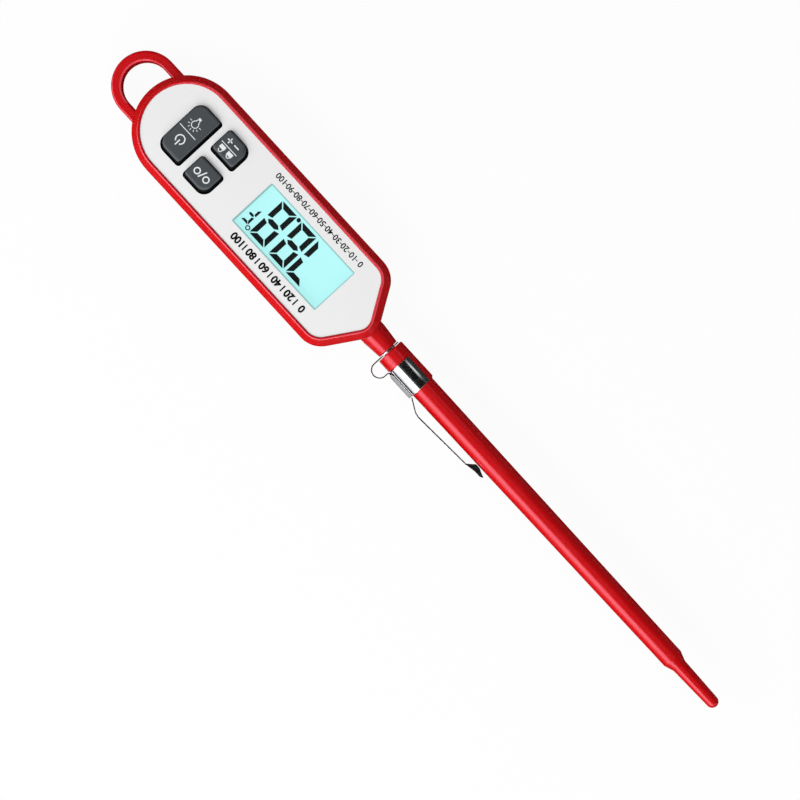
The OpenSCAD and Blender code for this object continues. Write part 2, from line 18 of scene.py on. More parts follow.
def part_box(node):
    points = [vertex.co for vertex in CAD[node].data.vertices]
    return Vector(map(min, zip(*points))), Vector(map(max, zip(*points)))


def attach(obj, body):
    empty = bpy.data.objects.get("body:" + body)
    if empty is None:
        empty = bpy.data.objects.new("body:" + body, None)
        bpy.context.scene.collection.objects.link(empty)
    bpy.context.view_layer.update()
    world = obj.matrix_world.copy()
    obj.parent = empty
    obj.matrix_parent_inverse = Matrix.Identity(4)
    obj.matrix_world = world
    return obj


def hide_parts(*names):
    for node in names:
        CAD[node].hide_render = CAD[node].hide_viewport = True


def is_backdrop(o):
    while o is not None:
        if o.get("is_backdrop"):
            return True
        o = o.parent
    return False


bl_info = {
    "name": "Soil Thermometer",
    "version": (1, 0, 0),
    "blender": (4, 5, 0),
    "location": "3D Viewport > Sidebar > Thermometer",
    "description": "Builds the looks of a digital soil thermometer over its CAD frame",
    "category": "Object",
}

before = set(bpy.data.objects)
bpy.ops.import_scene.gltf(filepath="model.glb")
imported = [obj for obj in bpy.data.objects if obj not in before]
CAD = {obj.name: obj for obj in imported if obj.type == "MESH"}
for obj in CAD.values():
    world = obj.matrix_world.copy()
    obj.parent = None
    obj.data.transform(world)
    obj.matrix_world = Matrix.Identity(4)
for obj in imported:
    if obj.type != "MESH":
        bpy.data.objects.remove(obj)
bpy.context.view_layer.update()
BOX = {name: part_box(name) for name in CAD}
MM = 0.001
# Heights of the faceplate's top and of the sheath's axis
FACE_Z = BOX["faceplate"][1].z
AXIS_Z = (BOX["sheath_tube"][0].z + BOX["sheath_tube"][1].z) / 2

# Places in the photograph, in pixels of its 800 by 800 frame
PHOTO_W = 800
PHOTO_H = 800
PHOTO_L = max(PHOTO_W, PHOTO_H)
PHOTO_POINTS = {
    "left_edge": (111.0, 79.5),
    "top_edge": (143.5, 50.6),
    "right_edge": (718.5, 697.5),
    "bottom_edge": (711.5, 707.9),
    "window_far_key_side": (272.1, 183.1),
    "window_near_clip_side": (315.0, 310.4),
    "power_key": (189.1, 134.6),
    "reading": (291.4, 244.1),
    "power_symbol": (180.2, 139.4),
    "bulb_symbol": (195.1, 124.6),
    "lock_symbol": (229.1, 148.3),
    "unit_symbol": (202.4, 174.6),
    "scale_numbers": (267.8, 272.5),
    "scale_line": (319.5, 220.1),
    "clip_toe": (481.9, 479.1),
}


# ---- Settings

def length(label, about, value):
    """A length setting, its default in millimetres."""
    return FloatProperty(name=label, description=about, default=value * MM, subtype="DISTANCE",
                         unit="LENGTH", precision=5)


def angle(label, about, value):
    """An angle setting, its default in degrees."""
    return FloatProperty(name=label, description=about, default=radians(value), subtype="ANGLE")


def colour(label, about, value):
    """A linear colour setting."""
    return FloatVectorProperty(name=label, description=about, default=value, subtype="COLOR",
                               size=3, min=0, max=1)


class ThermometerCamera(PropertyGroup):
    """Where the photograph was taken from."""

    aim: FloatVectorProperty(
        name="Aim", description="Point at the probe's height that shows in the image's middle",
        default=(-0.00017, -0.00709, 0.008), subtype="TRANSLATION", unit="LENGTH", size=3)
    distance: length("Distance", "From the aim to the camera", 663.72)
    tilt: angle("Tilt", "Lean of the view from straight above", 1.652)
    tilt_side: angle("Tilt side", "Direction the camera leans to, from +X", 108.49)
    turn: angle("Turn", "How far the probe points below the image's right", 47.39)
    lens: FloatProperty(name="Lens", description="Focal length, in millimetres", default=108.04)
    sensor: FloatProperty(name="Sensor", description="Sensor's width, in millimetres", default=36)


class ThermometerSizes(PropertyGroup):
    """Sizes of the surfaces that the scene adds to the CAD frame."""

    side_length: length("Side length", "Straight sides of the handle", 62.6)
    corner_radius: length("Corner radius", "Corners where the sides turn to the neck", 7.5)
    slant: angle("Slant", "Angle of the slanted sides to the axis", 57.8)
    nose_radius: length("Nose radius", "Round nose between the slanted sides", 6.5)
    wall: length("Wall", "Thickness of the bezel's wall", 1.6)
    wall_lean: length("Wall lean", "How far the bezel's wall leans in up to the lip", 1.6)
    wall_bend: length("Wall bend", "Radius of the bend where the wall starts to lean", 1.1)
    lip_width: length("Lip width", "Rounded lip around the faceplate", 0.95)
    ledge: length("Ledge", "Ledge that the faceplate lies on", 2.4)
    window_rim: length("Window rim", "Step of the window's lens under the bezel", 0.8)
    loop_width: length("Loop width", "Hanging loop, across its outside", 19.4)
    loop_bar: length("Loop bar", "Width of the hanging loop's bar", 3.0)
    loop_top: length("Loop top", "Height of the hanging loop's upper face", 6.5)
    ink: length("Ink", "Thickness of printed marks", 0.02)
    figure_height: length("Figure height", "Bold figures beside the display", 2.35)
    figure_pitch: length("Figure pitch", "From one bold figure to the next", 5.1)
    small_figure_height: length("Small figure height", "Light figures on the far side", 1.8)
    small_figure_pitch: length("Small figure pitch", "From one light figure to the next", 3.15)
    digit_height: length("Digit height", "Digits of the reading", 12.7)
    digit_width: length("Digit width", "Digits of the reading", 6.0)
    segment: length("Segment", "Width of the digits' segments", 1.55)
    segment_gap: length("Segment gap", "Gap between the digits' segments", 0.3)
    key_flange: length("Key flange", "How far a key's flange reaches under the faceplate", 0.6)
    key_slope: length("Key slope", "Lean of a key's sides towards the clip and the display", 0.85)
    key_draft: length("Key draft", "Lean of a key's other two sides", 0.15)
    strip: length("Clip strip", "Thickness of the clip's spring strip", 0.32)
    strip_width: length("Clip strip width", "Width of the clip's strip", 4.4)
    foot_width: length("Clip foot width", "Width of the clip's free end", 3.2)
    band_length: length("Clip band length", "Length of the clip's band on the collar", 8.9)
    band_wrap: angle("Clip band wrap", "Angle that the band wraps round the collar", 262)
    hairpin: length("Hairpin radius", "Bend of the clip at the sheath's mouth", 2.25)
    eyelet: length("Eyelet", "Outer diameter of the clip's eyelet", 6.8)
    stem: length("Stem", "Diameter of the steel stem", 3.8)
    screw_head: length("Screw head", "Diameter of the screws' heads", 3.6)
    screw_head_height: length("Screw head height", "Height of the screws' heads", 1.4)
    screw_shank: length("Screw shank", "Diameter of the screws' shanks", 2.0)


class ThermometerColours(PropertyGroup):
    """Colours of the visible finishes, linear."""

    red: colour("Red", "Moulded shells, sheath and battery door", (0.572, 0.0005, 0.0011))
    red_gloss: colour("Red gloss", "Tint of the red plastic's reflections", (1.0, 0.49, 0.62))
    # Pale red painted as a highlight along the bezel's lip crest and the loop's inner edge
    red_lip: colour("Lip line", "Rubbed edges of the bezel's lip and the loop", (0.8, 0.085, 0.115))
    faceplate: colour("Faceplate", "Printed plate around the display", (0.83, 0.83, 0.835))
    display: colour("Display", "Lit liquid-crystal display", (0.485, 0.98, 0.975))
    display_edge: colour("Display edge", "Shaded line around the display", (0.27, 0.5, 0.49))
    ink: colour("Ink", "Printed marks and display segments", (0.006, 0.006, 0.007))
    slate: colour("Slate", "Tops of the keys", (0.066, 0.074, 0.08))
    # Near-black key sides: painted shade down the sides of the keys
    key_side: colour("Key side", "Sides of the keys", (0.002, 0.002, 0.0025))
    legend: colour("Legend", "Marks on the keys", (0.8, 0.81, 0.82))
    steel: colour("Steel", "Stem, clip, screws and cell", (0.62, 0.63, 0.65))
    card: colour("Card", "Black cards that draw the dark bands on metal", (0.012, 0.012, 0.012))
    far_card: colour("Far card", "Card low on the far side", (0.04, 0.048, 0.048))
    filler_card: colour("Filler card", "Cards that close the gap beside the clip", (0.02, 0.02, 0.02))


def sizes():
    """The size settings of the scene."""
    return bpy.context.scene.thermometer_sizes


def shades():
    """The colour settings of the scene."""
    return bpy.context.scene.thermometer_colours


# ---- Shader maths

def math_method(operation, swapped=False):
    """A method of a wire that adds a Math node; swapped puts the other value first."""
    def method(self, other):
        values = (other, self) if swapped else (self, other)
        return self.maths(operation, *values)
    return method


class Wire:
    """An output socket of a material's node. Python's operators on it add Math nodes."""

    def __init__(self, node, output=0):
        self.node = node
        self.output = output

    def out(self, name):
        """Another output of the same node."""
        return Wire(self.node, name)

    def maths(self, operation, *values):
        """A Math node on the given values or wires."""
        return add_node(self.node.id_data, "ShaderNodeMath", dict(enumerate(values)), operation=operation)

    __add__ = __radd__ = math_method("ADD")
    __sub__ = math_method("SUBTRACT")
    __rsub__ = math_method("SUBTRACT", swapped=True)
    __mul__ = __rmul__ = math_method("MULTIPLY")
    __truediv__ = math_method("DIVIDE")
    __pow__ = math_method("POWER")
    smaller = math_method("MINIMUM")
    larger = math_method("MAXIMUM")

    def __abs__(self):
        return self.maths("ABSOLUTE", self)

    def fraction(self):
        """What is left over the whole number below."""
        return self.maths("FRACT", self)

    def above(self, low, high):
        """0 below low, 1 above high, and a smooth step between them."""
        return add_node(self.node.id_data, "ShaderNodeMapRange",
                        {"Value": self, "From Min": low, "From Max": high}, interpolation_type="SMOOTHSTEP")


def add_node(tree, kind, sockets, **settings):
    """Adds a node of a kind: its settings first, then values or wires on its sockets. A colour gets
    its fourth number."""
    node = tree.nodes.new(kind)
    for name, value in settings.items():
        setattr(node, name, value)
    for name, value in sockets.items():
        socket = node.inputs[name]
        if isinstance(value, Wire):
            tree.links.new(value.node.outputs[value.output], socket)
        else:
            socket.default_value = (*value, 1.0) if socket.type == "RGBA" else value
    return Wire(node)


def tone(shade, factor):
    """A colour made lighter or darker."""
    return tuple(min(1.0, channel * factor) for channel in shade)


class Finish:
    """A procedural material that reads Object coordinates. Sizes and depths are in millimetres."""

    def __init__(self, name):
        self.material = bpy.data.materials.new(name)
        self.material.use_nodes = True
        self.tree = self.material.node_tree
        self.tree.nodes.clear()
        self.place = self.add("ShaderNodeTexCoord", {}).out("Object")
        axes = self.add("ShaderNodeSeparateXYZ", {0: self.place})
        self.x, self.y, self.z = (axes.out(name) for name in "XYZ")

    def add(self, kind, sockets, **settings):
        """A new node in this finish."""
        return add_node(self.tree, kind, sockets, **settings)

    def noise(self, size, detail=3, stretch=(1, 1, 1)):
        """Noise from 0 to 1 with features of about a size, stretched along the axes."""
        scale = [1 / (size * MM * s) for s in stretch]
        place = self.add("ShaderNodeMapping", {"Vector": self.place, "Scale": scale})
        return self.add("ShaderNodeTexNoise", {"Vector": place, "Scale": 1.0, "Detail": detail})

    def mix(self, factor, first, second):
        """A colour between two colours."""
        return self.add("ShaderNodeMix", {0: factor, 6: first, 7: second}, data_type="RGBA").out(2)

    def mottled(self, mask, shade, low, high):
        """A colour that a mask takes from low to high times its lightness."""
        return self.mix(mask, tone(shade, low), tone(shade, high))

    def surface(self, shade, rough, bump=None, **sockets):
        """Ends the material in a Principled shader of a colour and a roughness. A bump is a height
        from 0 to 1, the depth it stands for and a strength. Underscores in names stand for spaces."""
        named = {name.replace("_", " "): value for name, value in sockets.items()}
        if bump:
            height, depth, strength = bump
            named["Normal"] = self.add("ShaderNodeBump",
                                       {"Strength": strength, "Distance": depth * MM, "Height": height})
        shader = self.add("ShaderNodeBsdfPrincipled", {"Base Color": shade, "Roughness": rough, **named})
        self.add("ShaderNodeOutputMaterial", {"Surface": shader})
        return self.material


# ---- Finishes

def red_plastic(name="red_plastic", highlight_mask=None):
    """Glossy moulded plastic: slight flow marks, a fine orange-peel skin and faint handling scuffs.
    A function of the finish can say where a painted highlight in paler red lies, from 0 to 1."""
    f = Finish(name)
    c = shades()
    base = f.mottled(f.noise(14, 2, (4, 1, 1)), c.red, 0.94, 1.05)
    # Painted highlight: paler red where the mask is 1
    if highlight_mask:
        base = f.mix(highlight_mask(f), base, c.red_lip)
    scuffs = f.noise(0.25, 2, (14, 1, 1)).above(0.62, 0.75)
    smudge = f.noise(9, 4).above(0.42, 0.7)
    rough = 0.23 + 0.04 * smudge + 0.05 * scuffs + 0.02 * f.noise(0.5, 2)
    return f.surface(base, rough, (f.noise(2.5, 1), 0.004, 0.4), IOR=1.46, Specular_IOR_Level=0.95,
                     Specular_Tint=c.red_gloss)


def side_rub(f):
    """Mask of the lip's painted highlight: 1 along the handle's sides and 0 round the loop's end."""
    return (f.x - BOX["front_bezel"][0].x).above(4 * MM, 14 * MM)


def cord_rub(f):
    """Mask of a painted highlight: 1 in a fine line along the inner edge of the hanging loop, and 0
    elsewhere.
    The line is a ring round the loop's centre, kept to its far half and its upper edge."""
    s = sizes()
    across = f.x - (BOX["rear_case"][0].x + s.loop_width / 2)
    ring = (across * across + f.y * f.y) ** 0.5 - (s.loop_width / 2 - s.loop_bar)
    line = ring.above(0.08 * MM, 0.25 * MM) * (1 - ring.above(0.5 * MM, 0.7 * MM))
    far_half = 1 - (across + 0.35 * f.y).above(-3.5 * MM, -1.5 * MM)
    return line * far_half * f.z.above(s.loop_top - 0.6 * MM, s.loop_top - 0.4 * MM)


def faceplate_finish():
    """Satin printed plate with a fine velvet texture and faint clouds."""
    f = Finish("faceplate_satin")
    velvet = f.noise(0.12, 2)
    return f.surface(f.mottled(f.noise(11), shades().faceplate, 0.985, 1.01), 0.46 + 0.08 * velvet,
                     (velvet, 0.003, 0.6), Specular_IOR_Level=0.35)


def display_finish():
    """Lit display: an even pale glow with a shaded line round the window."""
    f = Finish("display_glow")
    c = shades()
    low, high = window_edges()
    across_x = (f.x - low.x).smaller(high.x - f.x)
    across_y = (f.y - low.y).smaller(high.y - f.y)
    lit = across_x.smaller(across_y).above(0.1 * MM, 0.55 * MM)
    glow = f.mix(lit, c.display_edge, f.mottled(f.noise(16, 2), c.display, 0.975, 1.01))
    return f.surface(f.mix(0.85, glow, (0, 0, 0)), 0.5, Emission_Color=glow, Emission_Strength=0.9,
                     Specular_IOR_Level=0.2)


def window_finish():
    """Clear moulded window with faint wiping marks."""
    f = Finish("window_plastic")
    wipes = f.noise(0.6, 3, (9, 1, 1))
    return f.surface((0.1, 0.13, 0.13), 0.04 + 0.1 * wipes, IOR=1.49, Alpha=0.03)


def ink_finish(name="printed_ink", shade=None):
    """Screen-printed ink with a slightly uneven film."""
    f = Finish(name)
    film = f.noise(0.3, 2)
    return f.surface(f.mottled(film, shade or shades().ink, 0.9, 1.1), 0.5 + 0.1 * film,
                     Specular_IOR_Level=0.02)


def key_finish():
    """Keys moulded in slate plastic with a fine spark-eroded grain; a painted highlight on the top's edge and
    painted shade down the sides.
    """
    f = Finish("key_plastic")
    c = shades()
    grain = f.noise(0.16)
    below = BOX["power_key"][1].z - f.z
    on_top = 1 - below.above(0.72 * MM, 0.86 * MM)
    # A paler line round the top's edge: a painted highlight
    highlight_edge = on_top * below.above(0.08 * MM, 0.45 * MM)
    with_painted_highlight = f.mix(highlight_edge, f.mottled(f.noise(5, 2), c.slate, 0.9, 1.1), tone(c.slate, 1.45))
    # Near-black sides below the top: painted shade
    return f.surface(f.mix(on_top, c.key_side, with_painted_highlight), 0.5 + 0.12 * grain, (grain, 0.012, 0.6),
                     Specular_IOR_Level=0.06)


def spring_steel_finish():
    """Bright rolled strip: fine lines along the strip and a few scuffs."""
    f = Finish("clip_steel")
    lines = f.noise(0.05, 2, (60, 1, 1))
    scuffs = f.noise(1.2, 4, (3, 1, 1)).above(0.55, 0.75)
    return f.surface(f.mottled(lines, shades().steel, 1.05, 1.3), 0.13 + 0.07 * lines + 0.07 * scuffs,
                     (lines, 0.0006, 0.4), Metallic=1.0)


def drawn_steel_finish():
    """Drawn stainless tube with fine lines along its axis and dull stains, a satin part-metal."""
    f = Finish("drawn_steel")
    lines = f.noise(0.07, 3, (200, 1, 1))
    stain = f.noise(6, 3, (3, 1, 1)).above(0.5, 0.8)
    return f.surface(f.mottled(lines, shades().steel, 0.9, 1.1), 0.34 + 0.12 * lines + 0.08 * stain,
                     (lines, 0.001, 0.4), Metallic=0.55)


def plated_steel_finish():
    """Plated steel of the screws, domes and cell, with fine grain and dull spots."""
    f = Finish("plated_steel")
    spots = f.noise(1.5, 4).above(0.6, 0.75)
    return f.surface(f.mottled(spots, shades().steel, 0.95, 0.7), 0.26 + 0.12 * f.noise(0.12) + 0.1 * spots,
                     Metallic=1.0)


def contact_finish():
    """Plated spring contacts with rolling lines."""
    f = Finish("contact_brass")
    lines = f.noise(0.08, 2, (20, 1, 20))
    return f.surface(f.mix(lines, (0.7, 0.5, 0.22), (0.86, 0.68, 0.36)), 0.25 + 0.12 * lines, Metallic=1.0)


def rubber_finish(name, shade):
    """Matt moulded rubber with a dusty bloom."""
    f = Finish(name)
    grain = f.noise(0.2)
    bloom = f.noise(3, 4).above(0.5, 0.8)
    return f.surface(f.mottled(bloom, shade, 1.0, 1.6), 0.7 + 0.15 * grain, (grain, 0.008, 0.5))


def plain_moulding(name, shade, rough, low=0.94, high=1.05):
    """Small inner mouldings: a slightly uneven colour and a fine grain."""
    f = Finish(name)
    grain = f.noise(0.2)
    return f.surface(f.mottled(f.noise(2, 2), shade, low, high), rough + 0.1 * grain, (grain, 0.005, 0.5))


def board_finish():
    """Green solder mask, with brighter copper runs below it."""
    f = Finish("board_green")
    waves = {"Vector": f.place, "Scale": 180.0, "Distortion": 6.0, "Detail": 1.0}
    weave = f.add("ShaderNodeTexWave", waves, wave_type="BANDS", bands_direction="DIAGONAL")
    runs = weave.out("Fac").above(0.55, 0.62)
    return f.surface(f.mix(runs, (0.02, 0.15, 0.055), (0.05, 0.27, 0.1)), 0.35 + 0.1 * f.noise(0.3),
                     (runs, 0.03, 0.5))


def stripes_finish():
    """Zebra strip: thin carbon layers between soft insulating layers."""
    f = Finish("zebra_strip")
    layers = abs((f.x / (0.25 * MM)).fraction() - 0.5).above(0.2, 0.28)
    return f.surface(f.mix(layers, (0.03, 0.03, 0.03), (0.62, 0.5, 0.5)), 0.6 + 0.1 * f.noise(0.2))


# ---- Surfaces

def arc(centre, radius, start, end, count):
    """Points on a circle: centre plus radius times the cosine and sine of angles in degrees."""
    turn = np.radians(np.linspace(start, end, count))
    return np.column_stack([centre[0] + radius * np.cos(turn), centre[1] + radius * np.sin(turn)])


def mesh_object(name, parts, finish, smooth=40):
    """Object at the origin from parts of (points, faces), shaded smooth below an angle in degrees."""
    points, faces, first = [], [], 0
    for part_points, part_faces in parts:
        points.append(part_points)
        faces += [[first + i for i in face] for face in part_faces]
        first += len(part_points)
    mesh = bpy.data.meshes.new(name)
    mesh.from_pydata(np.concatenate(points).tolist(), [], faces)
    mesh.validate()
    mesh.shade_smooth()
    mesh.set_sharp_from_angle(angle=radians(smooth))
    mesh.materials.append(finish)
    piece = bpy.data.objects.new(name, mesh)
    bpy.context.scene.collection.objects.link(piece)
    return piece


def sheet(grid, loop_rows=False, loop_columns=False, caps=False):
    """A part from a grid of points (rows, columns, 3): quads between neighbours, where point (i, j)
    has the index i * columns + j. A loop joins the last row or column to the first, and caps are
    flat faces over the first and last rows."""
    rows, columns = grid.shape[:2]
    i, j = np.meshgrid(np.arange(rows if loop_rows else rows - 1),
                       np.arange(columns if loop_columns else columns - 1), indexing="ij")
    down, right = (i + 1) % rows, (j + 1) % columns
    corners = [i * columns + j, i * columns + right, down * columns + right, down * columns + j]
    faces = np.stack([c.ravel() for c in corners], 1).tolist()
    if caps:
        faces.append(list(range(columns))[::-1])
        faces.append([(rows - 1) * columns + j for j in range(columns)])
    return grid.reshape(-1, 3), faces


def tube(grid):
    """A part whose rows are closed rings, with a flat cap on each end."""
    return sheet(grid, loop_columns=True, caps=True)


def rim(circles, straight=10, step=5):
    """An outline around circles joined by their tangents, anticlockwise.
    Each circle is (x, y, radius, first angle, last angle), in degrees. It gives centres, radii and
    normals: the outline moved inwards by d is centre + (radius - d) * normal."""
    centres, radii, angles = [], [], []
    for here, after in zip(circles, circles[1:] + circles[:1]):
        count = max(2, int((here[4] - here[3]) / step) + 1)
        turn = np.linspace(here[3], here[4], count)
        share = np.arange(1, straight) / straight
        run = np.array(here[:3]) + share[:, None] * (np.array(after[:3]) - np.array(here[:3]))
        centres += [np.tile(here[:2], (count, 1)), run[:, :2]]
        radii += [np.full(count, here[2]), run[:, 2]]
        angles += [turn, np.full(len(share), here[4])]
    turn = np.radians(np.concatenate(angles))
    normals = np.column_stack([np.cos(turn), np.sin(turn)])
    return np.concatenate(centres), np.concatenate(radii), normals


def ring_points(outline, inset, height):
    """Points of an outline moved inwards by each inset at each height: one row for each pair."""
    centres, radii, normals = outline
    inset, height = np.atleast_1d(inset), np.atleast_1d(height)
    flat = centres[None] + (radii[None] - inset[:, None])[..., None] * normals[None]
    return np.concatenate([flat, np.broadcast_to(height[:, None, None], flat.shape[:2] + (1,))], 2)


def swept(profile, outline):
    """A closed profile of (inset, height) points carried round an outline."""
    return sheet(ring_points(outline, profile[:, 0], profile[:, 1]), True, True)


def prism(polygon, low=0, high=1):
    """A flat polygon, anticlockwise, given height from low to high."""
    flat = np.asarray(polygon, float)
    grid = np.stack([np.column_stack([flat, np.full(len(flat), z)]) for z in (low, high)])
    return tube(grid)


def direction(way):
    """A vector made 1 long."""
    return way / np.linalg.norm(way)


def fillet(points, radius, count=7):
    """A polyline with each inner corner replaced by an arc that touches both of its sides."""
    points = [np.array(p, float) for p in points]
    path = [points[0]]
    radii = np.broadcast_to(radius, (len(points) - 2,))
    for before, corner, after, r in zip(points, points[1:], points[2:], radii):
        u, v = direction(before - corner), direction(after - corner)
        half = acos(np.clip(u @ v, -1, 1)) / 2
        reach = r / tan(half)
        centre = corner + direction(u + v) * r / sin(half)
        start, end = corner + u * reach - centre, corner + v * reach - centre
        first = atan2(start[1], start[0])
        sweep = (atan2(end[1], end[0]) - first + pi) % (2 * pi) - pi
        turn = first + np.linspace(0, sweep, count)
        path += list(centre + r * np.column_stack([np.cos(turn), np.sin(turn)]))
    return np.array(path + [points[-1]])


def ribbon(path, width, thickness, middle_z, lean=0.0):
    """A strip along a path in the XY plane, standing across Z: its section is a rectangle with round
    edges, carried along with its thickness across the path's normal. Its width and lean may change
    along the path; a lean moves each point along the normal by lean times its height."""
    tangent = np.gradient(path, axis=0)
    tangent /= np.linalg.norm(tangent, axis=1)[:, None]
    normal = np.column_stack([-tangent[:, 1], tangent[:, 0]])
    width, lean = np.broadcast_to(width, (len(path),)), np.broadcast_to(lean, (len(path),))
    r = thickness * 0.15
    corner = np.concatenate([arc((0, 0), r, a, a + 90, 4) for a in (0, 90, 180, 270)])
    sign = np.repeat([[1, 1], [-1, 1], [-1, -1], [1, -1]], 4, 0)
    up = corner[None, :, 1] + sign[None, :, 1] * (width[:, None] / 2 - r)
    across = corner[None, :, 0] + sign[None, :, 0] * (thickness / 2 - r) + lean[:, None] * up
    flat = path[:, None] + across[..., None] * normal[:, None]
    return tube(np.concatenate([flat, (middle_z + up)[..., None]], 2))


def finely(path, step):
    """A polyline with points added so that no piece of it is longer than a step."""
    fine = [path[:1]]
    for start, end in zip(path, path[1:]):
        count = max(1, int(np.ceil(np.linalg.norm(end - start) / step)))
        fine.append(start + (end - start) * (np.arange(1, count + 1) / count)[:, None])
    return np.concatenate(fine)


def add_piece(name, parts, finish, body, slot, *nodes, smooth=40):
    """A closed piece with its faces turned outwards. It rides on a body and may stand for CAD nodes; its slot
    is not used."""
    piece = mesh_object(name, parts, finish, smooth)
    work = bmesh.new()
    work.from_mesh(piece.data)
    bmesh.ops.remove_doubles(work, verts=work.verts, dist=1e-7)
    bmesh.ops.recalc_face_normals(work, faces=work.faces)
    work.to_mesh(piece.data)
    work.free()
    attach(piece, body)
    if nodes:
        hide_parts(*nodes)


# ---- Places

def camera_ray(pixel):
    """Start and direction of the camera's ray through a pixel of the photograph's frame."""
    camera = bpy.context.scene.camera
    data = camera.data
    x, y = pixel
    along = Vector((x - PHOTO_W / 2 + data.shift_x * PHOTO_L, PHOTO_H / 2 - y + data.shift_y * PHOTO_L,
                    -PHOTO_L * data.lens / data.sensor_width))
    return camera.matrix_world.translation, (camera.matrix_world.to_3x3() @ along).normalized()


def pixels(points):
    """Where points in space show in the photograph's frame."""
    camera = bpy.context.scene.camera
    data = camera.data
    back = np.array(camera.matrix_world.inverted())
    local = np.asarray(points) @ back[:3, :3].T + back[:3, 3]
    scale = -PHOTO_L * data.lens / data.sensor_width / local[:, 2]
    x = PHOTO_W / 2 - data.shift_x * PHOTO_L + local[:, 0] * scale
    y = PHOTO_H / 2 + data.shift_y * PHOTO_L - local[:, 1] * scale
    return np.column_stack([x, y])


def corners_of(piece):
    """A finished piece's vertices in space, as an array."""
    ready = piece.evaluated_get(bpy.context.evaluated_depsgraph_get())
    flat = np.empty(len(ready.data.vertices) * 3)
    ready.data.vertices.foreach_get("co", flat)
    return flat.reshape(-1, 3) @ np.array(ready.matrix_world)[:3, :3].T + np.array(ready.matrix_world)[:3, 3]


def on_surface(name, carrier):
    """The place on a carrier that shows at a named photo point; a miss takes the vertex nearest the ray."""
    start, along = camera_ray(PHOTO_POINTS[name])
    tree = BVHTree.FromObject(carrier, bpy.context.evaluated_depsgraph_get())
    hit = tree.ray_cast(start, along)[0]
    if hit is not None:
        return hit
    away = corners_of(carrier) - np.array(start)
    beside = np.linalg.norm(np.cross(away, np.array(along)), axis=1)
    return Vector(corners_of(carrier)[beside.argmin()])


def middle(low, high):
    """Halfway between two places or numbers."""
    return (low + high) / 2


def window_edges():
    """Lowest and highest corners of the display window's opening."""
    low, high = BOX["lcd_window"]
    inset = Vector((1, 1, 0)) * sizes().window_rim
    return low + inset, high - inset


def handle_outline():
    """Outline of the handle at the split line: the round end, two corners and the nose."""
    s = sizes()
    low, high = BOX["front_bezel"]
    end_r = high.y
    end_x = low.x + end_r
    corner_x, corner_y = end_x + s.side_length, end_r - s.corner_radius
    lean = 90 - degrees(s.slant)
    apex = corner_x + s.corner_radius / sin(s.slant) + corner_y / tan(s.slant)
    nose_x = apex - s.nose_radius / sin(s.slant)
    return rim([(nose_x, 0, s.nose_radius, -lean, lean), (corner_x, corner_y, s.corner_radius, lean, 90),
                (end_x, 0, end_r, 90, 270), (corner_x, -corner_y, s.corner_radius, 270, 360 - lean)])


# ---- Marks, drawn in millimetres about the origin and 1 thick

def on_face(parts, centre, height):
    """Marks set on a face, as thick as ink: they read towards the loop, their tops towards the clip."""
    place = np.array([centre.x, centre.y, height])
    return [(points * [-MM, -MM, sizes().ink] + place, faces) for points, faces in parts]


def moved(part, x, y=0):
    """A part moved in its plane."""
    return part[0] + np.array([x, y, 0]), part[1]


def bar(start, end, width):
    """A straight mark with square ends."""
    start, end = np.array(start, float), np.array(end, float)
    side = direction(end - start)[::-1] * [-1, 1] * width / 2
    return prism([start - side, end - side, end + side, start + side])


def band(centre, radius, width, start=0, end=360, count=40):
    """A ring or part of one: an inner and an outer arc joined."""
    outer = arc(centre, radius + width / 2, start, end, count)
    inner = arc(centre, radius - width / 2, start, end, count)
    if end - start < 360:
        return prism(np.concatenate([outer, inner[::-1]]))
    rows = [np.column_stack([flat, np.full(count, z)])
            for flat, z in ((outer, 0), (outer, 1), (inner, 1), (inner, 0))]
    return sheet(np.stack(rows)[:, :-1], True, True)


def figures(text, height, bold):
    """A number, centred: outlines of the built-in typeface, thickened by bold."""
    curve = bpy.data.curves.new("figures", "FONT")
    curve.body = text
    curve.align_x = "CENTER"
    curve.offset = bold
    curve.extrude = 0.5
    curve.resolution_u = 4
    holder = bpy.data.objects.new("figures", curve)
    bpy.context.scene.collection.objects.link(holder)
    mesh = holder.to_mesh()
    points = np.array([v.co for v in mesh.vertices])
    faces = [list(p.vertices) for p in mesh.polygons]
    holder.to_mesh_clear()
    bpy.data.objects.remove(holder)
    bpy.data.curves.remove(curve)
    low, high = points.min(0), points.max(0)
    scale = height / (high[1] - low[1])
    return (points - middle(low, high)) * [scale, scale, 1] + [0, 0, 0.5], faces


# ---- Stage

class THERMOMETER_OT_camera(Operator):
    """Sets the camera where the photograph was taken from"""

    bl_idname = "thermometer.camera"
    bl_label = "Camera"

    def execute(self, context):
        c = context.scene.thermometer_camera
        back = Vector((sin(c.tilt) * cos(c.tilt_side), sin(c.tilt) * sin(c.tilt_side), cos(c.tilt)))
        ahead = (Vector((1, 0, 0)) - back * back.x).normalized()
        right = ahead * cos(c.turn) + back.cross(ahead) * sin(c.turn)
        turn = Matrix((right, back.cross(right), back)).transposed().to_4x4()
        data = bpy.data.cameras.new("camera")
        data.lens = c.lens
        data.sensor_width = c.sensor
        data.sensor_fit = "AUTO"
        data.clip_start = 0.01
        data.clip_end = 20
        camera = bpy.data.objects.new("camera", data)
        context.scene.collection.objects.link(camera)
        camera.matrix_world = Matrix.Translation(Vector(c.aim) + back * c.distance) @ turn
        context.scene.camera = camera
        context.view_layer.update()
        return {"FINISHED"}


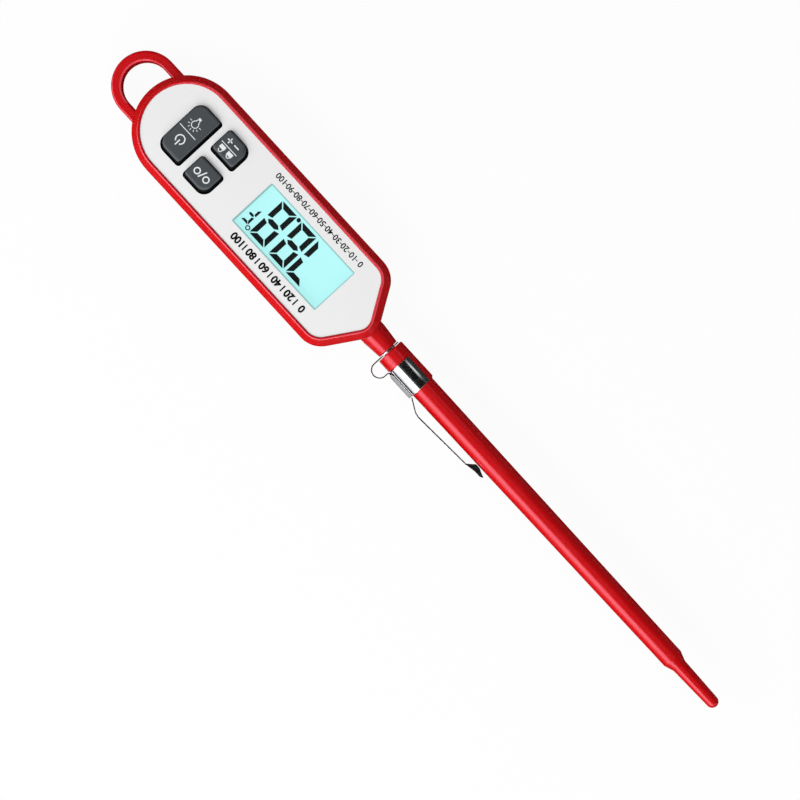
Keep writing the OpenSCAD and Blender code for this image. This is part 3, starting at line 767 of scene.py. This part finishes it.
def lamp(name, place, size, power, shown=True):
    """A soft rectangular lamp that points at the object. One that isn't shown leaves no reflection."""
    data = bpy.data.lights.new(name, "AREA")
    data.shape = "RECTANGLE"
    data.size, data.size_y = size
    data.energy = power
    light = bpy.data.objects.new(name, data)
    light.location = place
    light.rotation_euler = (Vector((0, 0, AXIS_Z)) - Vector(place)).to_track_quat("-Z", "Y").to_euler()
    light.visible_glossy = shown
    light.visible_camera = False
    bpy.context.scene.collection.objects.link(light)


def level(low, high, height):
    """A level rectangle between two corners, as a grid of its four points."""
    x, y = np.meshgrid((low[0], high[0]), (low[1], high[1]))
    return np.stack([x, y, np.full_like(x, height, float)], 2)


def around(low, high, start=-1.0, end=1.0, radius=0.5):
    """A grid curved along the X axis. Its angles are degrees from straight up, positive away from the
    clip: the point at angle a is radius times (sin a, cos a) from the axis."""
    turn = np.radians(np.linspace(low, high, 24))
    y, z = radius * np.sin(turn), radius * np.cos(turn)
    return np.stack([np.column_stack([np.full_like(turn, x), y, z]) for x in (start, end)], 1)


def card(name, grid, shade):
    """A matt card that only reflections see, as a studio sets round bright metal."""
    f = Finish(name)
    cloth = f.surface(f.mottled(f.noise(4), shade, 0.9, 1.0), 1.0, Specular_IOR_Level=0.0)
    piece = mesh_object(name, [sheet(grid)], cloth)
    for ray in ("camera", "diffuse", "shadow", "transmission"):
        setattr(piece, "visible_" + ray, False)
    piece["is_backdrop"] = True


def seen(tree):
    """1 on rays from the camera, in reflections and through glass, and 0 on others."""
    path = add_node(tree, "ShaderNodeLightPath", {})
    return path.out("Is Camera Ray").larger(path.out("Is Glossy Ray")).larger(path.out("Is Transmission Ray"))


class THERMOMETER_OT_stage(Operator):
    """Builds the pale floor, the lamps, the cards and the white surroundings"""

    bl_idname = "thermometer.stage"
    bl_label = "Stage"

    def execute(self, context):
        self.floor()
        self.world(context.scene)
        reach, lean = 0.6, radians(52)
        lamp("soft_box", (0, -reach * sin(lean), reach * cos(lean)), (1.8, 0.38), 7.3)
        lamp("top_lamp", (0, 0.1, 1.0), (1.0, 0.6), 2.9, shown=False)
        c = shades()
        card("overhead_card", around(-29, 34), c.card)
        card("far_card", around(47, 89), c.far_card)
        card("probe_card", around(33, 48, start=38 * MM), c.filler_card)
        card("handle_card", around(33, 48, end=-75 * MM), c.filler_card)
        card("floor_card", level((-1, -0.48), (1, 0.48), 0.1 * MM), c.card)
        low, high = (-20 * MM, -14 * MM), (7 * MM, -5.5 * MM)
        card("clip_reflector", level(low, high, 0.2 * MM), (0.5, 0.5, 0.5))
        context.scene.view_settings.view_transform = "Standard"
        return {"FINISHED"}

    def floor(self):
        """A wide floor: the camera sees it nearly white, with the object's soft shadow on it."""
        f = Finish("studio_floor")
        grey = f.mix(f.noise(30), (0.8, 0.8, 0.8), (0.82, 0.82, 0.82))
        paper = f.add("ShaderNodeBsdfDiffuse", {"Color": grey})
        white = f.add("ShaderNodeEmission", {"Color": (1, 1, 1), "Strength": 1.0})
        whiteness = 0.94
        mixed = f.add("ShaderNodeMixShader", {0: seen(f.tree) * whiteness, 1: paper, 2: white})
        f.add("ShaderNodeOutputMaterial", {"Surface": mixed})
        mesh_object("floor", [sheet(level((-4, -4), (4, 4), 0))], f.material)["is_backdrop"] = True

    def world(self, scene):
        """White where the camera, reflections or glass look, and a soft grey light elsewhere."""
        scene.world = bpy.data.worlds.new("studio")
        scene.world.use_nodes = True
        tree = scene.world.node_tree
        tree.nodes.clear()
        ambient = 0.21
        light = {"Color": (1, 1, 1), "Strength": ambient + (1 - ambient) * seen(tree)}
        sky = add_node(tree, "ShaderNodeBackground", light)
        add_node(tree, "ShaderNodeOutputWorld", {"Surface": sky})


# ---- Pieces

class THERMOMETER_OT_finishes(Operator):
    """Gives every CAD node its finish"""

    bl_idname = "thermometer.finishes"
    bl_label = "CAD finishes"

    def execute(self, context):
        finishes = (
            (red_plastic(), "front_bezel battery_door sheath_tube"),
            # The case's red carries a painted highlight along the hanging loop's inner edge
            (red_plastic("red_case", highlight_mask=cord_rub), "rear_case"),
            (rubber_finish("mat_rubber", (0.12, 0.12, 0.125)), "case_gasket keypad_mat"),
            (rubber_finish("seal_rubber", (0.018, 0.018, 0.02)), "door_seal stem_seal"),
            (plated_steel_finish(), "case_screws snap_domes button_cell"),
            (faceplate_finish(), "faceplate"),
            (window_finish(), "lcd_window"),
            (display_finish(), "lcd_panel"),
            (plain_moulding("guide_acrylic", (0.82, 0.9, 0.92), 0.12, 0.98, 1.0), "light_guide"),
            (plain_moulding("lamp_moulding", (0.85, 0.84, 0.72), 0.3), "backlight_leds"),
            (plain_moulding("chip_moulding", (0.025, 0.025, 0.028), 0.45), "board_components thermistor"),
            (plain_moulding("wire_jacket", (0.5, 0.02, 0.02), 0.4), "sensor_leads"),
            (stripes_finish(), "zebra_connector"),
            (board_finish(), "circuit_board"),
            (contact_finish(), "cell_contact_plus cell_contact_minus"),
            (key_finish(), "power_key lock_key unit_key"),
            (drawn_steel_finish(), "probe_stem"),
            (spring_steel_finish(), "clip_band clip_arm"),
        )
        for finish, names in finishes:
            for name in names.split():
                slots = CAD[name].data.materials
                slots.clear()
                slots.append(finish)
        return {"FINISHED"}


class THERMOMETER_OT_bezel(Operator):
    """Builds the bezel's wall and its rounded lip around the faceplate"""

    bl_idname = "thermometer.bezel"
    bl_label = "Bezel"

    def execute(self, context):
        s = sizes()
        low, high = BOX["front_bezel"]
        outline = handle_outline()
        # Degrees above level, seen from the lip's centre, at which its arc leaves the wall and ends
        outer, inner = 30, 10
        lip_r = s.lip_width / (cos(radians(outer)) + cos(radians(inner)))
        crown = (s.wall_lean + lip_r * cos(radians(outer)), high.z - lip_r)
        lip = arc(crown, lip_r, 180 - outer, inner, 28)
        lip_z = high.z - lip_r * (1 - sin(radians(outer)))
        chamfer = 0.12 * MM
        side = [(0, low.z + chamfer), (0, lip_z - 1.1 * s.wall_lean), (s.wall_lean, lip_z)]
        ledge_x = s.wall_lean + s.lip_width
        ledge_z = BOX["faceplate"][0].z
        under_z = ledge_z - s.wall
        profile = np.concatenate([
            [(0.3 * MM, low.z), (chamfer, low.z)], fillet(side, s.wall_bend, 9), lip,
            [(ledge_x, ledge_z), (ledge_x + s.ledge, ledge_z), (ledge_x + s.ledge, under_z),
             (s.wall + s.wall_lean, under_z), (s.wall, low.z)]])
        add_piece("bezel_shell", [swept(profile, outline)], bpy.data.materials["red_plastic"],
                  "handle", "red_shell", "front_bezel", smooth=35)
        # A thin paler band over the lip's crest: a painted highlight, shown along the handle's sides and
        # faded round the loop's end
        proud = 0.01 * MM
        with_painted_highlight = arc((crown[0], crown[1] - proud), lip_r + proud, 122, 82, 10)
        profile = np.concatenate([with_painted_highlight, arc(crown, lip_r * 0.8, 82, 122, 4)])
        add_piece("bezel_lip", [swept(profile, outline)], red_plastic("red_lip", highlight_mask=side_rub),
                  "handle", "red_shell", smooth=35)
        return {"FINISHED"}


class THERMOMETER_OT_display(Operator):
    """Builds the segments of the reading on the display"""

    bl_idname = "thermometer.display"
    bl_label = "Display"

    # Segments a to g, lit for each figure
    LIT = {"7": "abc", "8": "abcdefg", "F": "aefg"}

    def digit(self, figure, place, wide, high, thick, gap):
        """Seven-segment figure about a place. Each segment is a bar whose long sides stop short of its
        ends, more on the inside of the figure than on the outside; the middle one is pointed."""
        x, y, cut = (wide - thick) / 2, (high - thick) / 2, gap * 0.75
        inside, outside = cut + thick / 2, cut - thick / 2
        waist = inside * 0.55
        tip = x - cut * 0.4
        bars = {"a": ((-x, y), (x, y), outside, outside), "b": ((x, y), (x, 0), outside, waist),
                "c": ((x, 0), (x, -y), waist, outside), "d": ((x, -y), (-x, -y), outside, outside),
                "e": ((-x, -y), (-x, 0), outside, waist), "f": ((-x, 0), (-x, y), waist, outside),
                "g": ((-tip, 0), (tip, 0), inside, inside)}
        parts = []
        for name in self.LIT[figure]:
            start, end, from_start, from_end = bars[name]
            start, end = np.array(start), np.array(end)
            along = direction(end - start)
            side = along[::-1] * [-1, 1] * thick / 2
            near = [start + along * inside - side, end - along * inside - side]
            far = [end - along * from_end + side, start + along * from_start + side]
            corners = near + [end] + far + [start] if name == "g" else near + far
            parts.append(moved(prism(corners), *place))
        return parts

    def execute(self, context):
        s = sizes()
        ink = ink_finish("display_segments")
        centre = on_surface("reading", CAD["lcd_panel"])
        top = BOX["lcd_panel"][1].z
        large = [size / MM for size in (s.digit_width, s.digit_height, s.segment, s.segment_gap)]
        parts = (self.digit("7", (-7.34, 0), *large) + self.digit("8", (-0.48, 0), *large)
                 + self.digit("8", (7.34, 0), *large))
        add_piece("lcd_digits", on_face(parts, centre, top), ink, "handle", "lcd_glass")
        point = prism(arc((3.44, -5.91), 0.63, 0, 350, 36))
        parts = self.digit("F", (13.38, 2.54), 2.75, 5.5, 0.74, 0.13) + [point, band((11.4, 5.78), 0.58, 0.3)]
        add_piece("lcd_unit", on_face(parts, centre, top), ink, "handle", "lcd_glass")
        return {"FINISHED"}


class THERMOMETER_OT_print(Operator):
    """Prints the plain scale numbers and fine ticks on the faceplate"""

    bl_idname = "thermometer.print"
    bl_label = "Faceplate print"

    def execute(self, context):
        s = sizes()
        ink = ink_finish()
        high, pitch = s.figure_height / MM, s.figure_pitch / MM
        upright = bar((pitch / 2, -0.45 * high), (pitch / 2, 0.45 * high), 0.42)
        self.scale("scale_numbers", 20, high, 0.04, pitch, upright, ink)
        high, pitch = s.small_figure_height / MM, s.small_figure_pitch / MM
        flat = bar((0.36 * pitch, 0), (0.62 * pitch, 0), 0.2)
        self.scale("scale_line", 10, high, 0.02, pitch, flat, ink)
        return {"FINISHED"}

    def scale(self, name, step, high, bold, pitch, tick, ink):
        """Numbers from 0 to 100 by a step, with a tick after each but the last, which stands a little
        apart. The middle of the line lies at its photo point."""
        numbers = range(0, 101, step)
        places = (np.arange(len(numbers)) - (len(numbers) - 1) / 2) * pitch
        places[-1] += 0.45
        parts = [moved(figures(str(n), high, bold), x) for n, x in zip(numbers, places)]
        parts += [moved(tick, x) for x in places[:-1]]
        along = np.concatenate([points[:, 0] for points, faces in parts])
        parts = [moved(part, -middle(along.min(), along.max())) for part in parts]
        parts = on_face(parts, on_surface(name, CAD["faceplate"]), FACE_Z)
        add_piece(name, parts, ink, "handle", "white_plate")


class THERMOMETER_OT_keys(Operator):
    """Builds the three moulded keys with their leaning sides and soft top edges"""

    bl_idname = "thermometer.keys"
    bl_label = "Keys"

    BIG = 2.8 * MM
    SMALL = 0.9 * MM
    # Radii of each key's corners, from the lowest corner anticlockwise
    CORNERS = {"power": (BIG, SMALL, SMALL, BIG), "lock": (SMALL, SMALL, BIG, SMALL),
               "unit": (SMALL, BIG, SMALL, SMALL)}

    def execute(self, context):
        for key, radii in self.CORNERS.items():
            cap = tube(self.rows(sizes(), *BOX[key + "_key"], radii))
            add_piece(key + "_key_cap", [cap], bpy.data.materials["key_plastic"],
                      key + "_button", "key_slate", key + "_key", smooth=50)
        return {"FINISHED"}

    def outline(self, low, high, radii):
        """A rectangle with a radius at each corner, from the lowest corner anticlockwise."""
        circles = []
        for i, j, r, turn in zip((0, 1, 1, 0), (0, 0, 1, 1), radii, (180, 270, 0, 90)):
            x, y = (low[0] + r, high[0] - r)[i], (low[1] + r, high[1] - r)[j]
            circles.append((x, y, r, turn, turn + 90))
        return rim(circles[2:] + circles[:2], 8, 9)

    def rows(self, s, low, high, radii):
        """Rings of points from inside the hollow base, out over its flange, up the leaning sides, round
        the soft edge and in over the top."""
        trim, soft, ease = 0.25 * MM, 0.5 * MM, 0.3 * MM
        base_low = (low.x + s.key_flange, low.y + s.key_flange + trim)
        base_high = (high.x - s.key_flange - trim, high.y - s.key_flange)
        top_low = (base_low[0] + s.key_draft, base_low[1] + s.key_slope)
        top_high = (base_high[0] - s.key_slope, base_high[1] - s.key_draft)
        base = self.outline(base_low, base_high, radii)
        top = self.outline(top_low, top_high, [max(r - ease, ease) for r in radii])
        wall, hollow = 1.2 * MM, low.z + 2.2 * MM
        under, over = FACE_Z - 3.0 * MM, FACE_Z - 2.3 * MM
        lower = ring_points(base, [wall, wall, 0, 0, -s.key_flange, -s.key_flange, 0, 0],
                            [hollow, low.z, low.z, under, under, over, over, FACE_Z - 0.1 * MM])
        edge = arc((soft, high.z - soft), soft, 180, 90, 8)
        upper = ring_points(top, np.maximum(edge[:, 0], 0), edge[:, 1])
        share = np.linspace(0.12, 0.92, 5)[:, None, None]
        side = (1 - share) * ring_points(base, 0, FACE_Z) + share * upper[:1]
        centre = upper[-1].mean(0)
        crown = centre + (upper[-1] - centre) * np.linspace(0.95, 0.08, 9)[:, None, None]
        return np.concatenate([lower, side, upper, crown])


class THERMOMETER_OT_legends(Operator):
    """Prints plain pictograms on the keys"""

    bl_idname = "thermometer.legends"
    bl_label = "Key legends"

    def execute(self, context):
        white = ink_finish("key_legend", shades().legend)
        line, thin = 0.36, 0.22
        power = [band((0, 0), 1.3, 0.34, 122, 418), bar((0, 0.1), (0, 2.0), line)]
        self.mark("power", "power_symbol", power, white)
        bulb = [band((0, 0), 1.0, thin, -58, 238), bar((-0.53, -0.85), (-0.34, -1.6), thin),
                bar((0.53, -0.85), (0.34, -1.6), thin),
                prism([(-0.42, -2.2), (0.42, -2.2), (0.45, -1.5), (-0.45, -1.5)])]
        for turn in np.radians(np.linspace(-5, 185, 7)):
            spoke = np.array([cos(turn), sin(turn)])
            bulb.append(bar(spoke * 1.45, spoke * 2.05, 0.19))
        self.mark("power", "bulb_symbol", bulb, white)
        self.mark("power", "bulb_symbol", [bar((-3.1, 2.8), (3.1, 2.8), thin)], white, "key_divider")
        lock = [bar((-2.9, 0), (2.9, 0), thin), bar((-2.1, -1.6), (-0.4, -1.6), line),
                bar((0.4, -1.6), (2.1, -1.6), line), bar((1.25, -2.45), (1.25, -0.75), line)]
        low, high, shackle = 0.5, 1.65, 0.26
        for x, lift in ((-1.4, 0), (1.4, 0.35)):
            left, right, foot = x - 0.9, x + 0.9, x - 0.55
            lock += [prism([(left, low), (right, low), (right, high), (left, high)]),
                     band((x, high + lift), 0.55, shackle, 0, 180),
                     bar((foot, high), (foot, high + 0.02 + lift), shackle)]
        self.mark("lock", "lock_symbol", lock, white)
        unit = [band((-1.75, 0.3), 0.85, line), bar((-0.5, -1.3), (0.5, 1.3), line),
                band((1.75, 0.3), 0.85, line)]
        self.mark("unit", "unit_symbol", unit, white)
        return {"FINISHED"}

    def mark(self, key, point, parts, finish, name=None):
        """Sets a pictogram on a key's top at its photo point."""
        spot = on_surface(point, bpy.data.objects[key + "_key_cap"])
        parts = on_face(parts, spot, BOX[key + "_key"][1].z)
        add_piece(name or point, parts, finish, key + "_button", "key_slate")


class THERMOMETER_OT_clip(Operator):
    """Builds the spring-steel clip: eyelet, hairpin, band and sprung arm with its scooped foot"""

    bl_idname = "thermometer.clip"
    bl_label = "Pocket clip"

    def execute(self, context):
        s = sizes()
        steel = bpy.data.materials["clip_steel"]
        low, high = BOX["clip_band"]
        outer = high.z - AXIS_Z
        root_y = 0.05 * MM - outer - s.strip / 2
        parts = [self.band(s, high.x, outer), self.eyelet(s, low.x), self.hairpin(s, low, high.x, root_y)]
        add_piece("clip_spring", parts, steel, "sheath", "spring_steel", "clip_band", smooth=50)
        add_piece("clip_spring_arm", self.arm(s, root_y, *BOX["clip_arm"]), steel,
                  "clip_spring_arm", "spring_steel", "clip_arm", smooth=50)
        return {"FINISHED"}

    def turned(self, wide, thick, x, radius, turn):
        """A rectangle with round corners, carried round the sheath's axis: at angle a a point goes to
        (x, radius * cos a, axis + radius * sin a)."""
        r = 0.1 * MM
        along, out = np.concatenate([
            arc((x + i * (wide / 2 - r), radius + j * (thick / 2 - r)), r, a, a + 90, 5)
            for i, j, a in ((1, 1, 0), (-1, 1, 90), (-1, -1, 180), (1, -1, 270))]).T
        y, z = np.outer(np.cos(turn), out), np.outer(np.sin(turn), out) + AXIS_Z
        return np.stack([np.broadcast_to(along, y.shape), y, z], 2)

    def band(self, s, end_x, outer):
        """The band round the collar, open on the side away from the arm."""
        turn = pi + np.linspace(-0.5, 0.5, 90) * s.band_wrap
        grid = self.turned(s.band_length, s.strip, end_x - s.band_length / 2, outer - s.strip / 2, turn)
        return tube(grid)

    def eyelet(self, s, low_x):
        """The ring that the stem passes through, at the sheath's mouth."""
        inner, outer = s.stem / 2 + 0.3 * MM, s.eyelet / 2
        turn = np.linspace(0, 2 * pi, 64, endpoint=False)
        grid = self.turned(s.strip, outer - inner, low_x + s.strip / 2, middle(inner, outer), turn)
        return sheet(grid, True, True)

    def hairpin(self, s, low, end_x, root_y):
        """The strip that bends back from the eyelet and runs down beside the band, leaning on it."""
        start_x = low.x + s.strip / 2
        reach = -low.y - s.strip / 2 - s.hairpin
        bend = 0.45 * MM
        root_x = start_x + 2 * s.hairpin + bend
        path = finely(np.concatenate([
            [(start_x, 0.6 * MM - s.eyelet / 2)], arc((start_x + s.hairpin, -reach), s.hairpin, 180, 360, 30),
            arc((root_x, root_y - bend), bend, 180, 90, 8), [(end_x, root_y)]]), 0.4 * MM)
        lean = 0.24 * np.clip((path[:, 0] - root_x) / (1.2 * MM), 0, 1) * (path[:, 1] > root_y - bend)
        return ribbon(path, s.strip_width, s.strip, AXIS_Z, lean)

    def arm(self, s, root_y, low, high):
        """The sprung arm: root, shoulder, long run and scooped foot with turned-up sides."""
        start_x, end_x = low.x + s.strip / 2, high.x - 0.06 * MM
        shoulder_x, foot_x = start_x + 5.2 * MM, end_x - 5.8 * MM
        heel_x, flat_x = foot_x + 1.9 * MM, foot_x + 3.4 * MM
        out_y = low.y + s.strip / 2
        foot_y, bulge_y, toe_y = out_y + 0.9 * MM, out_y + 1.4 * MM, out_y + 1.85 * MM
        heel_y, side_y = high.y - s.strip / 2, high.y + 0.15 * MM
        spine = [(start_x, root_y), (start_x + 3.7 * MM, out_y + 0.3 * MM), (shoulder_x, out_y),
                 (foot_x, foot_y), (heel_x, heel_y), (flat_x, heel_y), (end_x, toe_y)]
        bends = np.array([1.2, 1.2, 0.4, 0.5, 1.2]) * MM
        path = finely(fillet(spine, bends), 0.5 * MM)
        width = np.interp(path[:, 0], [shoulder_x, foot_x, end_x],
                          [s.strip_width, s.foot_width, s.foot_width * 0.8])
        parts = [ribbon(path, width, s.strip, AXIS_Z)]
        side = [(foot_x, foot_y), (foot_x + 1.3 * MM, foot_y + 0.2 * MM), (foot_x + 3 * MM, bulge_y),
                (foot_x + 5 * MM, bulge_y), (end_x, toe_y), (flat_x, side_y), (heel_x, side_y),
                (foot_x, foot_y)]
        bends = np.array([1.0, 1.5, 0.8, 0.15, 1.4, 0.5]) * MM
        outline = fillet(side, bends, 5)[:-1]
        for up in (-1, 1):
            z = AXIS_Z + up * (s.foot_width - s.strip) / 2
            parts.append(prism(outline, z - s.strip / 2, z + s.strip / 2))
        return parts


class THERMOMETER_OT_screws(Operator):
    """Builds the four screws with cross-recessed heads"""

    bl_idname = "thermometer.screws"
    bl_label = "Screws"

    def execute(self, context):
        corners = np.array([v.co for v in CAD["case_screws"].data.vertices])
        low, high = BOX["case_screws"]
        parts = []
        for end in (-1, 1):
            for side in (-1, 1):
                own = (end * (corners[:, 0] - middle(low.x, high.x)) > 0) & (side * corners[:, 1] > 0)
                x, y, _ = middle(corners[own].min(0), corners[own].max(0))
                parts.append(self.screw(sizes(), x, y, low.z, high.z))
        add_piece("case_screw_set", parts, bpy.data.materials["plated_steel"],
                  "handle", "screw_steel", "case_screws", smooth=35)
        return {"FINISHED"}

    def screw(self, s, x, y, bottom, top):
        """One screw, its head down: rings out over the recessed head, up its side and along the shank.
        The recess is a cross with sloping walls."""
        arm_length, arm_width, recess, wall = 2.3 * MM, 0.76 * MM, 0.6 * MM, 0.12 * MM
        head, shank, length_z = s.screw_head / 2, s.screw_shank / 2, top - bottom
        turn = np.linspace(0, 2 * pi, 96, endpoint=False)
        share = np.linspace(0.02, 0.93, 26)
        dome = np.column_stack([share * head, 0.12 * MM * share ** 2])
        side = [(0.98 * head, 0.15 * MM), (head, 0.24 * MM), (head, s.screw_head_height),
                (shank, s.screw_head_height), (shank, length_z), (0.01 * head, length_z)]
        radius, lift = np.concatenate([dome, side]).T
        across, along = np.outer(radius, np.cos(turn)), np.outer(radius, np.sin(turn))
        arms = [np.maximum(np.abs(p) - arm_length / 2, np.abs(q) - arm_width / 2)
                for p, q in ((across, along), (along, across))]
        inside = np.clip(-np.minimum(*arms) / wall, 0, 1)
        inside[len(dome):] = 0
        grid = np.stack([x + across, y + along, bottom + lift[:, None] + recess * inside], 2)
        return tube(grid)


# ---- Check

class THERMOMETER_OT_points(Operator):
    """Works out how far each thing shows from its photo point"""

    bl_idname = "thermometer.points"
    bl_label = "Check photo points"

    def execute(self, context):
        shown = [o for o in context.scene.objects
                 if o.type == "MESH" and not o.hide_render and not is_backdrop(o)]
        spots = pixels(np.concatenate([corners_of(o) for o in shown]))
        window = pixels([(x, y, BOX["faceplate"][1].z) for x in (window_edges()[0].x, window_edges()[1].x)
                         for y in (window_edges()[0].y, window_edges()[1].y)])
        found = {
            "left_edge": (spots[:, 0].min(), None), "right_edge": (spots[:, 0].max(), None),
            "top_edge": (None, spots[:, 1].min()), "bottom_edge": (None, spots[:, 1].max()),
            "window_far_key_side": tuple(window[1]), "window_near_clip_side": tuple(window[2]),
        }
        pieces = {"power_key": "power_key_cap", "scale_numbers": "scale_numbers",
                  "scale_line": "scale_line", "power_symbol": "power_symbol", "bulb_symbol": "bulb_symbol",
                  "lock_symbol": "lock_symbol", "unit_symbol": "unit_symbol", "reading": "lcd_digits"}
        face = BOX["faceplate"][1].z
        for point, name in pieces.items():
            spots = corners_of(bpy.data.objects[name])
            spots = spots[spots[:, 2] > face] if name == "power_key_cap" else spots
            found[point] = tuple(pixels([(spots.min(0) + spots.max(0)) / 2])[0])
        arm = corners_of(bpy.data.objects["clip_spring_arm"])
        found["clip_toe"] = tuple(pixels(arm[arm[:, 0] > arm[:, 0].max() - 0.5 * MM]).mean(0))
        for point, place in found.items():
            [None if p is None else round(float(p - q), 2)
                          for p, q in zip(place, PHOTO_POINTS[point])]
        return {"FINISHED"}


class THERMOMETER_PT_panel(Panel):
    """Shows the thermometer's build steps and settings in the sidebar"""

    bl_idname = "THERMOMETER_PT_panel"
    bl_label = "Soil thermometer"
    bl_space_type = "VIEW_3D"
    bl_region_type = "UI"
    bl_category = "Thermometer"

    def draw(self, context):
        for step in STEPS:
            self.layout.operator(step.bl_idname)
        for group in GROUPS:
            settings = getattr(context.scene, group)
            for name in settings.__annotations__:
                self.layout.prop(settings, name)


STEPS = (THERMOMETER_OT_camera, THERMOMETER_OT_stage, THERMOMETER_OT_finishes, THERMOMETER_OT_bezel,
         THERMOMETER_OT_display, THERMOMETER_OT_print, THERMOMETER_OT_keys, THERMOMETER_OT_legends,
         THERMOMETER_OT_clip, THERMOMETER_OT_screws, THERMOMETER_OT_points)
GROUPS = {"thermometer_camera": ThermometerCamera, "thermometer_sizes": ThermometerSizes,
          "thermometer_colours": ThermometerColours}


def register():
    """Registers the settings, the operators and the panel."""
    for name, group in GROUPS.items():
        bpy.utils.register_class(group)
        setattr(bpy.types.Scene, name, PointerProperty(type=group))
    for step in STEPS + (THERMOMETER_PT_panel,):
        bpy.utils.register_class(step)


def unregister():
    """Takes back what register added."""
    for step in (THERMOMETER_PT_panel,) + STEPS[::-1]:
        bpy.utils.unregister_class(step)
    for name, group in GROUPS.items():
        delattr(bpy.types.Scene, name)
        bpy.utils.unregister_class(group)


def main():
    """Builds everything in order."""
    register()
    for step in STEPS:
        family, name = step.bl_idname.split(".")
        getattr(getattr(bpy.ops, family), name)()


if __name__ == "__main__":
    main()
